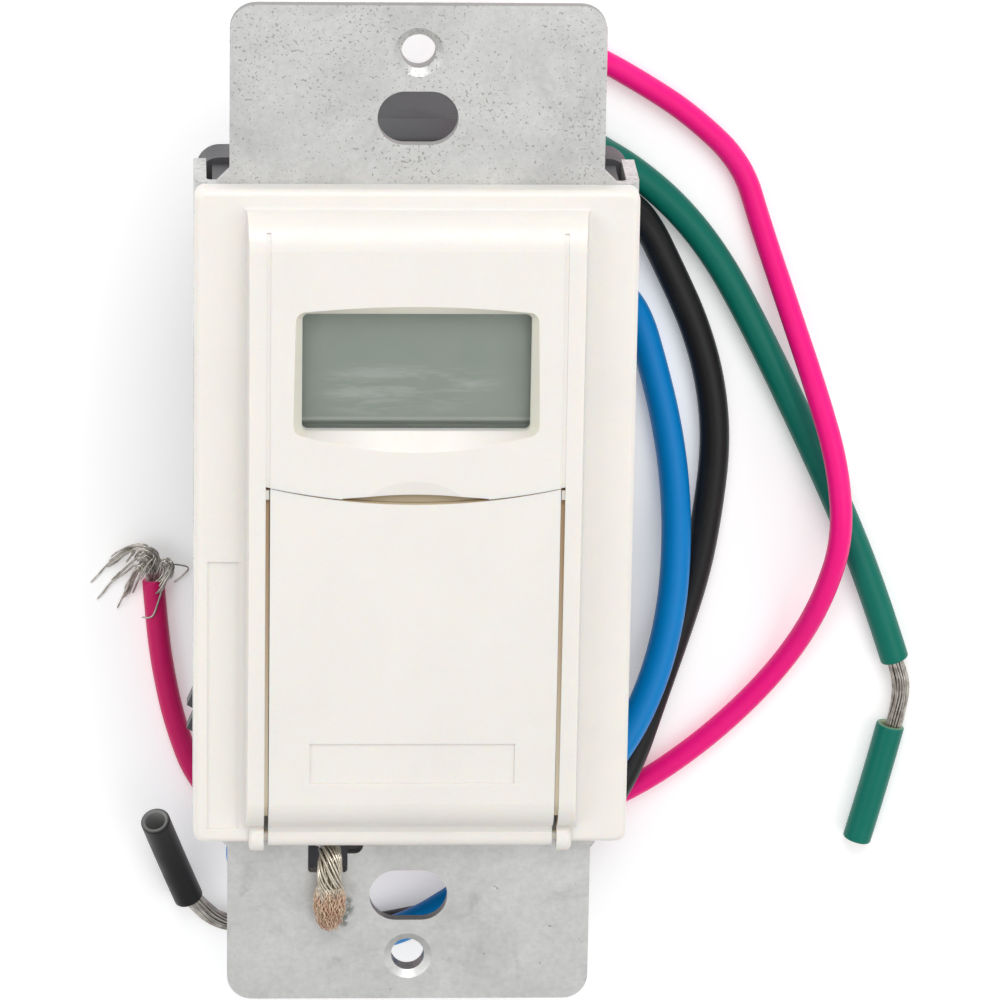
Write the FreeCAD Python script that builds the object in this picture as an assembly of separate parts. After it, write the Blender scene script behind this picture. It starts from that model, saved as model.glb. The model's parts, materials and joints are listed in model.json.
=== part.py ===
import FreeCAD, Part
import math
import os

# In-wall timer for a single-gang wall box, in millimetres.
# The device lies on its back: the face looks along +Z and its top end along +Y.
# The origin is the middle of the mounting pattern, on the back face of the steel yoke.

V = FreeCAD.Vector

# Mounting yoke: one sheet steel strap with two ears and bent side flanges
plate_screw_spacing = 96.84
box_screw_spacing = 83.3
yoke_length = 106.4
yoke_thickness = 1.3
ear_width = 37.6
ear_corner_radius = 2.6
shoulder_chamfer = 1.3
body_length = 69.8
flange_overhang = 0.1
flange_depth = 8.2
flange_bend_radius = 1.8
slot_width = 8.1
slot_height = 5.5
plate_hole_radius = 1.73
plate_hole_dish_radius = 2.5
plate_hole_dish_depth = 0.5
plate_hole_collar_radius = 2.45
plate_hole_collar_depth = 1.2
lead_notch_width = 4.1
lead_notch_x = -8.4
lead_notch_end = 39.1
lead_notch_start = 35.0
lead_notch_side_end = 37.0
lead_notch_side_x = -4.75

# Front bezel: flat wings under the wall plate and a raised face through its opening
bezel_width = 44.6
bezel_length = 69.7
bezel_corner_radius = 1.1
bezel_rim_radius = 0.7
wing_height = 2.6
wing_skin = 1.2
face_width = 33.3
face_base_width = 34.2
face_half_length = 32.9
face_end_height = 5.7
face_crown_height = 6.4
face_end_run = 3.5
face_end_bulge = 0.55
face_foot_radius = 0.4
side_groove_depth = 0.15
display_seat_height = 4.1
bezel_wall = 1.35

# Display
window_width = 23.0
window_height = 12.25
window_y = 16.65
window_corner_radius = 0.6
window_depth = 1.35
recess_side_run = 0.95
recess_corner = 1.2
recess_side_rise = 0.6
recess_side_fall = 0.3
recess_arch_rise = 1.5
recess_arch_fall = 2.0
lens_margin = 1.9
lens_thickness = 1.0
display_side_margin = 1.7
display_end_margin = 1.88
display_thickness = 1.9
display_gap = 0.2
strip_width = 1.8

# Door and its hinge
door_width = 29.3
door_gap = 0.45
door_thickness = 1.5
door_edge_y = 3.2
door_edge_rise = 1.65
door_edge_gap = 0.08
finger_gap_half_width = 7.4
finger_gap_y = 4.1
finger_gap_side_y = 3.75
finger_scoop_rise = 1.6
finger_scoop_half_width = 4.7
finger_scoop_depth = 0.9
hinge_y = -34.25
hinge_height = 1.7
hinge_barrel_radius = 1.1
hinge_boss_radius = 1.65
hinge_boss_edge = 0.6
hinge_pin_radius = 0.6
hinge_pin_length = 1.1
pin_clearance = 0.05
nameplate_width = 21.0
nameplate_height = 4.4
nameplate_y = -24.9
mark_depth = 0.25
snap_reach = 0.37
snap_length = 1.0
snap_height = 1.2
snap_top_gap = 0.3

# Wing mark, left bare
left_mark_width = 3.2
left_mark_length = 29.0
left_mark_x = -19.35
left_mark_y = -18.75

# Panel behind the door, and its buttons
panel_height = 3.1
panel_thickness = 1.2
panel_foot_wall = 1.0
button_gap = 0.15
button_flange = 0.4
button_flange_thickness = 0.9
button_proud = 1.0
button_edge = 0.3
button_travel = 0.5
on_off_width = 20.0
on_off_height = 5.4
on_off_x = -2.2
on_off_y = 0.5
key_width = 7.0
key_height = 5.0
key_pitch = 9.4
key_row_y = -5.8
reset_x = 12.0
reset_radius = 0.8
reset_below_panel = 0.4
key_corner_radius = 1.0
stem_radius = 1.2

# Tactile switches under the buttons
switch_size = 5.2
switch_height = 1.3
plunger_radius = 1.2
plunger_proud = 0.55
plunger_seat = 0.55

# Battery, tray and bay
battery_radius = 7.8
battery_rim = 0.4
battery_length = 27.0
battery_nub_radius = 3.1
battery_nub_length = 0.6
tray_y = -18.85
tray_height = 17.2
tray_length = 29.0
tray_front = 1.0
tray_gap = 0.15
tray_end_gap = 0.2
tray_cup_gap = 0.1
tray_notch_radius = 2.4
contact_window = 7.0
bay_wall = 0.8
bay_floor = 0.8
bay_under_gap = 0.4
contact_thickness = 0.3
contact_half_length = 6.5
contact_bow_half = 4.2
contact_touch_gap = 0.05
contact_width = 5.0

# Boards
board_thickness = 1.6
board_gap = 0.3
control_board_top = 0.0
control_board_end = -9.0
power_board_lift = 1.5
post_radius = 1.9
power_post_radius = 1.8
power_post_edge = 4.1
power_post_y = 29.6
board_screw_edge = 3.7
board_screw_top_y = 21.5
board_screw_bottom_y = -6.4
board_screw_radius = 0.9
board_screw_head_radius = 1.75
board_screw_head_height = 1.1
board_screw_length = 6.0
running_gap = 0.03

# Parts on the power board
relay_size = (15.4, 19.6, 12.4)
relay_centre = (0.0, -21.6)
film_capacitor_size = (8.6, 18.0, 15.0)
film_capacitor_edge = 0.8
film_capacitor_y = 12.2
electrolytic_radius = 4.0
electrolytic_height = 12.0
electrolytic_base_lip = 0.5
electrolytic_rim = 0.5
electrolytic_edge = 1.1
electrolytic_ys = (-1.6, 25.9)
varistor_radius = 6.6
varistor_thickness = 4.4
varistor_centre = (3.4, 1.4)
varistor_stand_off = 1.6
varistor_rim = 1.2
bridge_size = (6.4, 8.2, 3.2)
bridge_to_tail = 6.0
bridge_y = 13.6
header_pin_count = 6
header_pitch = 2.54
header_pin_size = 0.64
header_body_height = 2.5
header_y = -7.4
microcontroller_size = 10.0
microcontroller_height = 1.4
microcontroller_y = 12.0
crystal_radius = 1.5
crystal_length = 6.2
crystal_x = 10.5

# Rear housing: a front part inside the flanges, a wide middle and a narrow back
housing_depth = 32.0
housing_wall = 1.5
housing_front_gap = 0.6
housing_front_inset = 0.7
housing_step = 8.5
housing_middle_inset = 0.2
housing_shoulder = 15.1
housing_corner_radius = 2.4
housing_edge_radius = 1.5
housing_ridge_y = -25.6
housing_ridge_reach = 0.9
housing_ridge_length = 2.6
housing_ridge_z = -11.0
housing_ridge_height = 2.0
end_panel_half_width = 10.0
end_panel_reach = 2.6
end_panel_top = -17.0
end_tongue_half_width = 3.3
end_tongue_x = -7.5
end_tongue_reach = 9.0
end_tongue_top = -7.4

# Screws that clamp the bezel, yoke and housing together
case_screw_edge = 3.2
case_screw_end = 3.2
case_boss_radius = 1.5
case_post_radius = 2.0
case_boss_length = 7.0
case_screw_radius = 0.9
case_screw_head_radius = 1.5
case_screw_head_height = 1.4

# Leads
main_lead_diameter = 3.2
ground_lead_diameter = 3.1
control_lead_diameter = 2.4
bushing_flange_radius = 2.4
bushing_flange = 1.0
bushing_neck_radius = 2.0
bushing_rim = 0.3
bushing_wall_gap = 1.0
lead_exit_edge = 4.2
black_exit_y = 26.5
blue_exit_y = 17.0
red_exit_x = 7.0
red_exit_depth = 11.05
exit_run = 3.8
tail_radius = 1.1
tail_rise = 5.4
tail_inner_edge = 4.1
tail_bend_radius = 3.2
red_tail_y = 29.0
red_tail_radius = 0.9
red_tail_bend_radius = 2.4
solder_post_radius = 1.5
solder_post_height = 1.4
strand_bundle_radius = 0.9
front_bundle_radius = 1.3
sleeve_wall = 0.5

# Ground terminal behind the top ear
terminal_x = 13.0
terminal_y = 38.0
terminal_tongue = 5.6
terminal_thickness = 0.8
terminal_barrel_radius = 2.1
terminal_barrel_depth = 6.0

# Heights that follow from the sizes above
flange_span = bezel_width + 2 * flange_overhang
housing_front_width = flange_span - 2 * yoke_thickness - 2 * housing_front_gap
housing_middle_width = bezel_width - 2 * housing_middle_inset
housing_front_length = body_length - 2 * housing_front_inset
case_screw_x = housing_front_width / 2 - case_screw_edge
case_screw_y = housing_front_length / 2 - case_screw_end
board_screw_x = housing_front_width / 2 - board_screw_edge
lead_exit_x = housing_middle_width / 2 - lead_exit_edge
housing_back_width = 2 * (lead_exit_x - bushing_flange_radius - bushing_wall_gap)
power_post_x = housing_back_width / 2 - power_post_edge
tail_inner_x = housing_back_width / 2 - tail_inner_edge
wing_top = yoke_thickness + wing_height
crown_z = yoke_thickness + face_crown_height
crown_end_z = yoke_thickness + face_end_height
crown_end_y = face_half_length - face_end_run
seat_z = yoke_thickness + display_seat_height
panel_z = yoke_thickness + panel_height
panel_under_z = panel_z - panel_thickness
hinge_z = yoke_thickness + hinge_height
panel_foot_y = -(crown_end_y - door_thickness * 0.3) - 0.95
bay_outer_half = tray_height / 2 + tray_gap + bay_wall
table_z = -housing_depth
shoulder_inner_z = -housing_shoulder + housing_wall
back_inner_z = -housing_depth + housing_wall
power_board_z = back_inner_z + power_board_lift + board_thickness
control_board_z = control_board_top - board_thickness
pocket_half = door_width / 2 + door_gap
cavity_half = pocket_half + 0.65
lead_exit_z = -housing_shoulder - bushing_flange
housing_back_length = housing_front_length
recess_width = window_width + 2 * recess_side_run
recess_side_top = window_y + window_height / 2 + recess_side_rise
recess_side_bottom = window_y - window_height / 2 - recess_side_fall
recess_top = window_y + window_height / 2 + recess_arch_rise
recess_bottom = window_y - window_height / 2 - recess_arch_fall
display_width = window_width + 2 * display_side_margin
display_height = window_height + 2 * display_end_margin
power_board_width = housing_back_width - 2 * housing_wall - 2 * board_gap

# Routes of the leads: x, y and the height above lying flat on the table.
# Each lead starts at its bushing or terminal, which the code puts in front of these points.
black_route = [
    (18.8, 25.9, 6.1), (21.2, 24.2, 2.5), (24.6, 21.9, 0.3), (28.0, 16.9, 0.0), (30.9, 10.9, 0.0),
    (32.8, 4.4, 0.0), (33.5, -2.4, 0.0), (32.9, -9.4, 0.0), (31.6, -16.2, 0.0), (29.7, -22.8, 0.1),
    (27.0, -30.4, 1.2), (23.6, -39.2, 5.4), (17.2, -48.2, 6.0), (10.2, -53.6, 3.6), (2.4, -57.0, 0.4),
    (-5.6, -58.6, 0.0), (-12.4, -58.6, 0.0)]
blue_route = [
    (18.9, 16.5, 6.1), (21.2, 15.0, 2.5), (23.9, 12.0, 0.3), (26.4, 6.4, 0.0), (28.2, -0.2, 0.1),
    (29.1, -6.8, 0.6), (29.2, -13.2, 2.4), (28.6, -20.2, 3.8), (26.8, -27.4, 4.8), (23.6, -34.0, 6.4),
    (18.4, -40.2, 8.2), (13.0, -45.5, 9.2), (7.0, -49.8, 10.4), (0.6, -53.2, 12.2), (-6.0, -54.2, 14.0),
    (-12.2, -51.6, 16.0), (-16.6, -47.2, 17.8), (-18.4, -42.6, 19.4), (-17.0, -38.8, 21.4),
    (-13.7, -37.0, 23.6), (-10.6, -36.8, 26.4)]
red_route = [
    (7.1, 43.0, 17.8), (7.4, 45.0, 14.2), (8.3, 45.0, 9.8), (10.2, 44.0, 5.4), (14.0, 42.6, 1.4),
    (19.2, 40.3, 0.0), (25.0, 37.0, 0.0), (30.0, 33.7, 0.0), (34.4, 28.4, 0.0), (37.5, 21.8, 0.0),
    (40.6, 13.4, 1.6), (43.8, 4.4, 4.6), (46.0, -3.2, 6.0), (46.5, -11.2, 6.0), (45.0, -18.6, 3.8),
    (42.4, -25.2, 1.0), (37.8, -31.2, 0.0), (31.4, -37.0, 0.0), (23.8, -42.2, 0.0), (14.4, -46.3, 0.0),
    (3.4, -48.3, 0.0), (-7.6, -47.7, 0.0), (-15.8, -44.8, 0.0), (-21.2, -40.0, 0.0),
    (-23.7, -34.2, 0.0), (-25.1, -28.6, 0.0), (-25.8, -23.6, 0.0), (-26.5, -19.2, 0.0)]
green_route = [
    (13.4, 37.6, 13.6), (15.4, 35.6, 7.0), (18.8, 32.2, 2.0), (23.0, 28.2, 0.1),
    (28.4, 23.8, 0.0), (33.0, 18.4, 0.0), (36.8, 11.6, 0.0), (41.4, 2.4, 0.0), (46.6, -8.6, 0.0),
    (50.8, -18.6, 0.0), (53.6, -27.0, 0.0)]

# Bare ends of the leads, carried on from where the insulation stops
black_strands_route = [(-18.9, -57.6)]
black_sleeve_route = [(-22.9, -54.2, 0.1), (-24.9, -48.6, 1.8), (-26.4, -43.2, 5.8)]
green_sleeve_route = [(53.4, -34.4, 0.0), (51.9, -41.0, 0.0), (50.1, -47.8, 0.0)]
strand_run = 3.2
strand_lead_in = 1.2
front_bundle_y = -36.8
front_bundle_tip_y = -45.1
front_bundle_gap = 0.35
front_bundle_bend = 1.7
front_bundle_run = 2.6
front_bundle_crest = 5.2
frayed_strand_count = 7
frayed_strand_radius = 0.32
frayed_strand_reach = 7.2
frayed_stub_radius = 0.8
frayed_stub_length = 1.3
frayed_right_angle = -58.0
frayed_left_angle = 88.0

os.makedirs("parts", exist_ok=True)


def save(name, shape):
    shape.exportStep("parts/" + name + ".step")


def block(x0, x1, y0, y1, z0, z1):
    return Part.makeBox(x1 - x0, y1 - y0, z1 - z0, V(x0, y0, z0))


def centred_block(x, y, width, length, z0, z1):
    return block(x - width / 2, x + width / 2, y - length / 2, y + length / 2, z0, z1)


def rod(x, y, radius, z0, z1):
    return Part.makeCylinder(radius, z1 - z0, V(x, y, z0))


def rounded_slab(x, y, width, length, radius, z0, z1):
    slab = centred_block(x, y, width, length, z0, z1)
    upright = [e for e in slab.Edges if abs(e.tangentAt(e.FirstParameter).z) > 0.99]
    return slab.makeFillet(radius, upright)


def closed_face(edges):
    return Part.Face(Part.Wire(edges))


def polygon_face(points):
    return Part.Face(Part.makePolygon(points + [points[0]]))


def joined(shapes):
    whole = shapes[0]
    for shape in shapes[1:]:
        whole = whole.fuse(shape)
    return whole.removeSplitter()


def through_points(points, radius):
    """A path of straight runs joined by arcs that touch them."""
    corners = [V(*p) for p in points]
    edges = []
    start = corners[0]
    radii = []
    for before, corner, after in zip(corners, corners[1:], corners[2:]):
        incoming = corner - before
        outgoing = after - corner
        reach = 0.45 * min(incoming.Length, outgoing.Length)
        turn = incoming.getAngle(outgoing)
        radii.append(reach / math.tan(turn / 2))
        u_in = V(incoming).normalize()
        u_out = V(outgoing).normalize()
        arc_start = corner - u_in * reach
        arc_end = corner + u_out * reach
        inward = (u_out - u_in).normalize()
        sagitta = radii[-1] * (1 / math.cos(turn / 2) - 1)
        edges.append(Part.makeLine(start, arc_start))
        edges.append(Part.Arc(arc_start, corner + inward * sagitta, arc_end).toShape())
        start = arc_end
    edges.append(Part.makeLine(start, corners[-1]))
    return Part.Wire(edges), radii


def tube(points, radius, name):
    """A round tube along the points, checked against its section times its length."""
    path, radii = through_points(points, radius)
    first = V(*points[0])
    heading = V(*points[1]) - first
    section = Part.Wire(Part.makeCircle(radius, first, heading))
    solid = path.makePipeShell([section], True, False)
    expected = math.pi * radius ** 2 * path.Length
    print(name, "length", round(path.Length, 1), "least radius", round(min(radii), 1),
          "at point", radii.index(min(radii)) + 1, "in diameters", round(min(radii) / (2 * radius), 1),
          "volume ratio", round(solid.Volume / expected, 3))
    return solid


def crown_profile(drop, bottom):
    """Side view of the raised face, lowered by drop, closed at the bottom height."""
    ends = []
    for side in (1, -1):
        foot = V(0, side * (face_half_length - drop), wing_top - drop)
        middle = V(0, side * (face_half_length - drop - face_end_run * 0.36),
                   (wing_top + crown_end_z) / 2 + face_end_bulge - drop)
        top = V(0, side * (crown_end_y - drop * 0.3), crown_end_z - drop)
        ends.append((foot, middle, top))
    (foot_a, middle_a, top_a), (foot_b, middle_b, top_b) = ends
    peak = V(0, 0, crown_z - drop)
    base_a = V(0, foot_a.y, bottom)
    base_b = V(0, foot_b.y, bottom)
    return closed_face([
        Part.makeLine(base_a, foot_a),
        Part.Arc(foot_a, middle_a, top_a).toShape(),
        Part.Arc(top_a, peak, top_b).toShape(),
        Part.Arc(top_b, middle_b, foot_b).toShape(),
        Part.makeLine(foot_b, base_b),
        Part.makeLine(base_b, base_a)])


def along_x(face, half_width):
    moved = face.translated(V(-half_width, 0, 0))
    return moved.extrude(V(2 * half_width, 0, 0))


def raised_face(drop, bottom):
    """The crowned block of the raised face with its side walls drafted."""
    crowned = along_x(crown_profile(drop, bottom), face_base_width / 2)
    draft = polygon_face([
        V(-face_base_width / 2, -bezel_length, bottom), V(-face_base_width / 2, -bezel_length, wing_top),
        V(-face_width / 2, -bezel_length, crown_z + 1), V(face_width / 2, -bezel_length, crown_z + 1),
        V(face_base_width / 2, -bezel_length, wing_top), V(face_base_width / 2, -bezel_length, bottom)])
    return crowned.common(draft.extrude(V(0, 2 * bezel_length, 0)))


def side_grooves():
    """Shallow grooves that carry the door's side gaps on along the upper half of the face."""
    skin = raised_face(0, yoke_thickness).cut(raised_face(side_groove_depth, yoke_thickness - 1))
    grooves = []
    for side in (1, -1):
        x0, x1 = sorted((side * door_width / 2, side * pocket_half))
        grooves.append(skin.common(block(x0, x1, door_edge_y, crown_end_y + face_end_run / 2, wing_top,
                                         crown_z + 1)))
    return grooves


def smile_region(edge_offset, half_width, z0, z1):
    """Everything below the curved line where the door meets the bezel."""
    level = door_edge_y + edge_offset
    left = V(-half_width, level + door_edge_rise, z0)
    right = V(half_width, level + door_edge_rise, z0)
    low_left = V(-half_width, -bezel_length, z0)
    low_right = V(half_width, -bezel_length, z0)
    face = closed_face([
        Part.makeLine(low_left, left),
        Part.Arc(left, V(0, level, z0), right).toShape(),
        Part.makeLine(right, low_right),
        Part.makeLine(low_right, low_left)])
    return face.extrude(V(0, 0, z1 - z0))


def mounting_yoke():
    half_flange = flange_span / 2
    bend = flange_bend_radius
    inner = bend - yoke_thickness
    x_in = half_flange - yoke_thickness
    corner = half_flange - bend
    top = yoke_thickness
    diagonal = math.sqrt(0.5)
    end = V(0, -body_length / 2, 0)

    def at(x, z):
        return V(x, end.y, z)

    def half(side):
        centre_x, centre_z = corner, top - bend
        return [
            Part.makeLine(at(0, top), at(side * corner, top)),
            Part.Arc(at(side * corner, top),
                     at(side * (centre_x + bend * diagonal), centre_z + bend * diagonal),
                     at(side * half_flange, top - bend)).toShape(),
            Part.makeLine(at(side * half_flange, top - bend), at(side * half_flange, -flange_depth)),
            Part.makeLine(at(side * half_flange, -flange_depth), at(side * x_in, -flange_depth)),
            Part.makeLine(at(side * x_in, -flange_depth), at(side * x_in, top - bend)),
            Part.Arc(at(side * x_in, top - bend),
                     at(side * (centre_x + inner * diagonal), centre_z + inner * diagonal),
                     at(side * corner, 0)).toShape(),
            Part.makeLine(at(side * corner, 0), at(0, 0))]

    channel_edges = half(1) + half(-1)
    channel_edges = [e for e in channel_edges if e.Length > 1e-6]
    channel = Part.Face(Part.Wire(Part.__sortEdges__(channel_edges))).extrude(V(0, body_length, 0))

    strap = rounded_slab(0, 0, ear_width, yoke_length, ear_corner_radius, 0, top)
    shapes = [channel, strap]
    for side in (1, -1):
        y = side * body_length / 2
        shapes.append(polygon_face([
            V(-ear_width / 2 - shoulder_chamfer, y, 0), V(-ear_width / 2, y + side * shoulder_chamfer, 0),
            V(ear_width / 2, y + side * shoulder_chamfer, 0), V(ear_width / 2 + shoulder_chamfer, y, 0),
            V(0, y - side, 0)]).extrude(V(0, 0, top)))
        shapes.append(rod(0, side * plate_screw_spacing / 2, plate_hole_collar_radius,
                          -plate_hole_collar_depth, 0))
    yoke = joined(shapes)

    window_x = case_screw_x + case_boss_radius + 0.2
    window_y_end = case_screw_y + case_boss_radius + 0.3
    lower_edge = tray_y - bay_outer_half - 0.8
    cuts = [block(-window_x, window_x, lower_edge, window_y_end, -1, top + 1)]
    for side in (1, -1):
        x0, x1 = sorted((side * (pocket_half + 0.5), side * window_x))
        cuts.append(block(x0, x1, -window_y_end, lower_edge + 1, -1, top + 1))
        y = side * plate_screw_spacing / 2
        cuts.append(rod(0, y, plate_hole_radius, -plate_hole_collar_depth - 1, top + 1))
        dish = Part.makeCone(plate_hole_radius, plate_hole_dish_radius, plate_hole_dish_depth,
                             V(0, y, top - plate_hole_dish_depth))
        cuts.append(dish)
        cuts.append(rounded_slab(0, side * box_screw_spacing / 2, slot_width, slot_height,
                                 slot_height / 2 - 0.01, -1, top + 1))
    cuts.append(rounded_slab(lead_notch_x, -(lead_notch_start + lead_notch_end) / 2, lead_notch_width,
                             lead_notch_end - lead_notch_start, 0.4, -1, top + 1))
    side_width = lead_notch_side_x - lead_notch_x
    cuts.append(rounded_slab(lead_notch_x + side_width / 2, -(lead_notch_start + lead_notch_side_end) / 2,
                             side_width, lead_notch_side_end - lead_notch_start, 0.9, -1, top + 1))
    for cut in cuts:
        yoke = yoke.cut(cut)
    return yoke


def case_screw_places():
    return [(sx * case_screw_x, sy * case_screw_y) for sx in (1, -1) for sy in (1, -1)]


def key_places():
    return {"mode": -key_pitch, "minus": 0.0, "plus": key_pitch}


def arched_outline(half, side_low, side_high, low, high, corner, z):
    """Two upright sides and two arches, joined by rounded corners."""
    edges = []
    cut = corner * (1 - math.sqrt(0.5))
    for sx, sy, side, peak in ((-1, 1, side_high, high), (1, -1, side_low, low)):
        other_side = side_low if sy > 0 else side_high
        upright = V(sx * half, side - sy * corner, z)
        arch_start = V(sx * (half - corner), side, z)
        arch_end = V(-sx * (half - corner), side, z)
        far_upright = V(-sx * half, side - sy * corner, z)
        edges.append(Part.makeLine(V(sx * half, other_side + sy * corner, z), upright))
        edges.append(Part.Arc(upright, V(sx * (half - cut), side - sy * cut, z), arch_start).toShape())
        if abs(peak - side) < 1e-6:
            edges.append(Part.makeLine(arch_start, arch_end))
        else:
            edges.append(Part.Arc(arch_start, V(0, peak, z), arch_end).toShape())
        edges.append(Part.Arc(arch_end, V(-sx * (half - cut), side - sy * cut, z), far_upright).toShape())
    return Part.Wire(edges)


def display_recess():
    """The sloped recess round the display window, with an arched top and bottom."""
    y0, y1 = window_y - window_height / 2, window_y + window_height / 2
    low = arched_outline(window_width / 2, y0, y1, y0, y1, window_corner_radius, crown_z - window_depth)
    high = arched_outline(recess_width / 2, recess_side_bottom, recess_side_top, recess_bottom, recess_top,
                          recess_corner, crown_z)
    return Part.makeLoft([low, high], True, True)


def finger_scoop():
    """A shallow scallop above the door for a fingertip."""
    half, rise, depth = finger_scoop_half_width, finger_scoop_rise, finger_scoop_depth
    outline = (half ** 2 + rise ** 2) / (2 * rise)
    radius = (outline ** 2 + depth ** 2) / (2 * depth)
    return Part.makeSphere(radius, V(0, finger_gap_y + rise - outline, crown_z - depth + radius))


def front_bezel():
    plate = rounded_slab(0, 0, bezel_width, bezel_length, bezel_corner_radius, yoke_thickness, wing_top)
    rim = [e for e in plate.Edges if e.BoundBox.ZMin > wing_top - 0.01]
    plate = plate.makeFillet(bezel_rim_radius, rim)
    body = joined([plate, raised_face(0, yoke_thickness)])
    foot = [e for e in body.Edges
            if abs(e.BoundBox.ZMin - wing_top) < 0.01 and abs(e.BoundBox.ZMax - wing_top) < 0.01
            and max(e.BoundBox.XMax, -e.BoundBox.XMin) < face_base_width / 2 + 0.01]
    body = body.makeFillet(face_foot_radius, foot)

    hollow_top_y = face_half_length - bezel_wall
    display_end_y = recess_top + lens_margin
    panel_end_y = door_edge_y + door_edge_rise + bezel_wall
    hollow = polygon_face([
        V(0, panel_end_y, yoke_thickness - 1), V(0, panel_end_y, seat_z), V(0, display_end_y, seat_z),
        V(0, hollow_top_y, yoke_thickness + wing_skin), V(0, hollow_top_y, yoke_thickness - 1)])
    body = body.cut(along_x(hollow, cavity_half))
    body = body.cut(block(-cavity_half, cavity_half, panel_foot_y + panel_foot_wall, panel_end_y + 0.01,
                          yoke_thickness - 1, panel_under_z))
    core_inner = face_base_width / 2 + 0.7
    core_outer = bezel_width / 2 - bezel_wall
    core_end = bezel_length / 2 - bezel_wall
    for side in (1, -1):
        x0, x1 = sorted((side * core_inner, side * core_outer))
        body = body.cut(block(x0, x1, -core_end, core_end, yoke_thickness - 1, wing_top - wing_skin))

    pocket = smile_region(door_edge_gap, pocket_half, panel_z, crown_z + 1)
    pocket = pocket.fuse(block(-pocket_half, pocket_half, -bezel_length, panel_foot_y,
                               yoke_thickness - 1, crown_z + 1))
    side_points = [V(s * finger_gap_half_width, finger_gap_side_y, panel_z) for s in (-1, 1)]
    low_points = [V(s * finger_gap_half_width, door_edge_y - 1, panel_z) for s in (1, -1)]
    finger_gap = closed_face([
        Part.Arc(side_points[0], V(0, finger_gap_y, panel_z), side_points[1]).toShape(),
        Part.makeLine(side_points[1], low_points[0]), Part.makeLine(low_points[0], low_points[1]),
        Part.makeLine(low_points[1], side_points[0])])
    body = body.cut(pocket)
    body = body.cut(finger_gap.extrude(V(0, 0, crown_z)))
    body = body.cut(display_recess())
    body = body.cut(rounded_slab(0, window_y, window_width, window_height, window_corner_radius,
                                 seat_z - 1, crown_z))
    body = body.cut(finger_scoop())
    for groove in side_grooves():
        body = body.cut(groove)

    for x, y in case_screw_places():
        body = body.fuse(rod(x, y, case_boss_radius, -case_boss_length, wing_top - wing_skin + 0.2))
    for side in (1, -1):
        x0, x1 = sorted((side * pocket_half, side * face_width / 2))
        boss = Part.makeCylinder(hinge_boss_radius, x1 - x0, V(x0, hinge_y, hinge_z), V(1, 0, 0))
        outer = [e for e in boss.Edges if e.Closed and abs(e.CenterOfMass.x) > face_width / 2 - 0.01]
        boss = boss.makeFillet(hinge_boss_edge, outer)
        body = body.fuse(boss)
        x0, x1 = sorted((side * (pocket_half - snap_reach), side * (pocket_half + 0.1)))
        snap_top = door_edge_y + door_edge_rise - snap_top_gap
        body = body.fuse(block(x0, x1, snap_top - snap_length, snap_top,
                               crown_z - 0.3 - snap_height, crown_z - 0.3))
    body = body.removeSplitter()

    pin_reach = hinge_pin_length + door_gap + 0.1
    bore_radius = hinge_pin_radius + pin_clearance
    for side in (1, -1):
        x0, x1 = sorted((side * (pocket_half - 0.1), side * (door_width / 2 + pin_reach)))
        body = body.cut(Part.makeCylinder(bore_radius, x1 - x0, V(x0, hinge_y, hinge_z), V(1, 0, 0)))
    for x, y in case_screw_places():
        body = body.cut(rod(x, y, case_screw_radius + running_gap, -case_boss_length - 1, 0.6))

    opening_gap = 2 * button_gap
    body = body.cut(rounded_slab(on_off_x, on_off_y, on_off_width + opening_gap,
                                 on_off_height + opening_gap, key_corner_radius + button_gap,
                                 panel_under_z - 1, panel_z + 1))
    for x in key_places().values():
        body = body.cut(rounded_slab(x, key_row_y, key_width + opening_gap, key_height + opening_gap,
                                     key_corner_radius + button_gap, panel_under_z - 1, panel_z + 1))
    body = body.cut(rod(reset_x, on_off_y, reset_radius + button_gap, panel_under_z - 1, panel_z + 1))
    body = body.cut(centred_block(0, tray_y, tray_length + 2 * tray_gap, tray_height + 2 * tray_gap,
                                  panel_under_z - 1, panel_z + 1))
    body = body.cut(centred_block(left_mark_x, left_mark_y, left_mark_width, left_mark_length,
                                  wing_top - mark_depth, wing_top + 1))
    return body


def door():
    """The flip-down door: a crowned leaf that curls round to its hinge barrel."""
    outer = along_x(crown_profile(0, yoke_thickness), door_width / 2)
    inner = along_x(crown_profile(door_thickness, yoke_thickness - 1), door_width / 2 + 1)
    leaf = outer.cut(inner)
    leaf = leaf.common(smile_region(-door_edge_gap, door_width / 2, yoke_thickness - 1, crown_z + 1))
    leaf = leaf.cut(block(-door_width, door_width, hinge_y - 4 * hinge_barrel_radius,
                          hinge_y + 5 * hinge_barrel_radius, yoke_thickness - 1, hinge_z - 0.2))
    barrel = Part.makeCylinder(hinge_barrel_radius, door_width, V(-door_width / 2, hinge_y, hinge_z),
                               V(1, 0, 0))
    web = block(-door_width / 2, door_width / 2, hinge_y, -face_half_length + door_thickness,
                hinge_z - 0.2, wing_top)
    pin_length = door_width + 2 * hinge_pin_length + 2 * door_gap
    pins = Part.makeCylinder(hinge_pin_radius, pin_length, V(-pin_length / 2, hinge_y, hinge_z),
                             V(1, 0, 0))
    solid = joined([leaf, web, barrel, pins])
    plate_top = along_x(crown_profile(0, yoke_thickness - 1), door_width)
    plate_low = along_x(crown_profile(mark_depth, yoke_thickness - 2), door_width + 1)
    plate = centred_block(0, nameplate_y, nameplate_width, nameplate_height, yoke_thickness, crown_z)
    return solid.cut(plate.common(plate_top.cut(plate_low)))


def display_lens():
    width = window_width + 2 * lens_margin
    height = window_height + 2 * lens_margin
    return rounded_slab(0, window_y, width, height, window_corner_radius, seat_z - lens_thickness, seat_z)


def display_glass():
    top = seat_z - lens_thickness - display_gap
    return centred_block(0, window_y, display_width, display_height, top - display_thickness, top)


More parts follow.
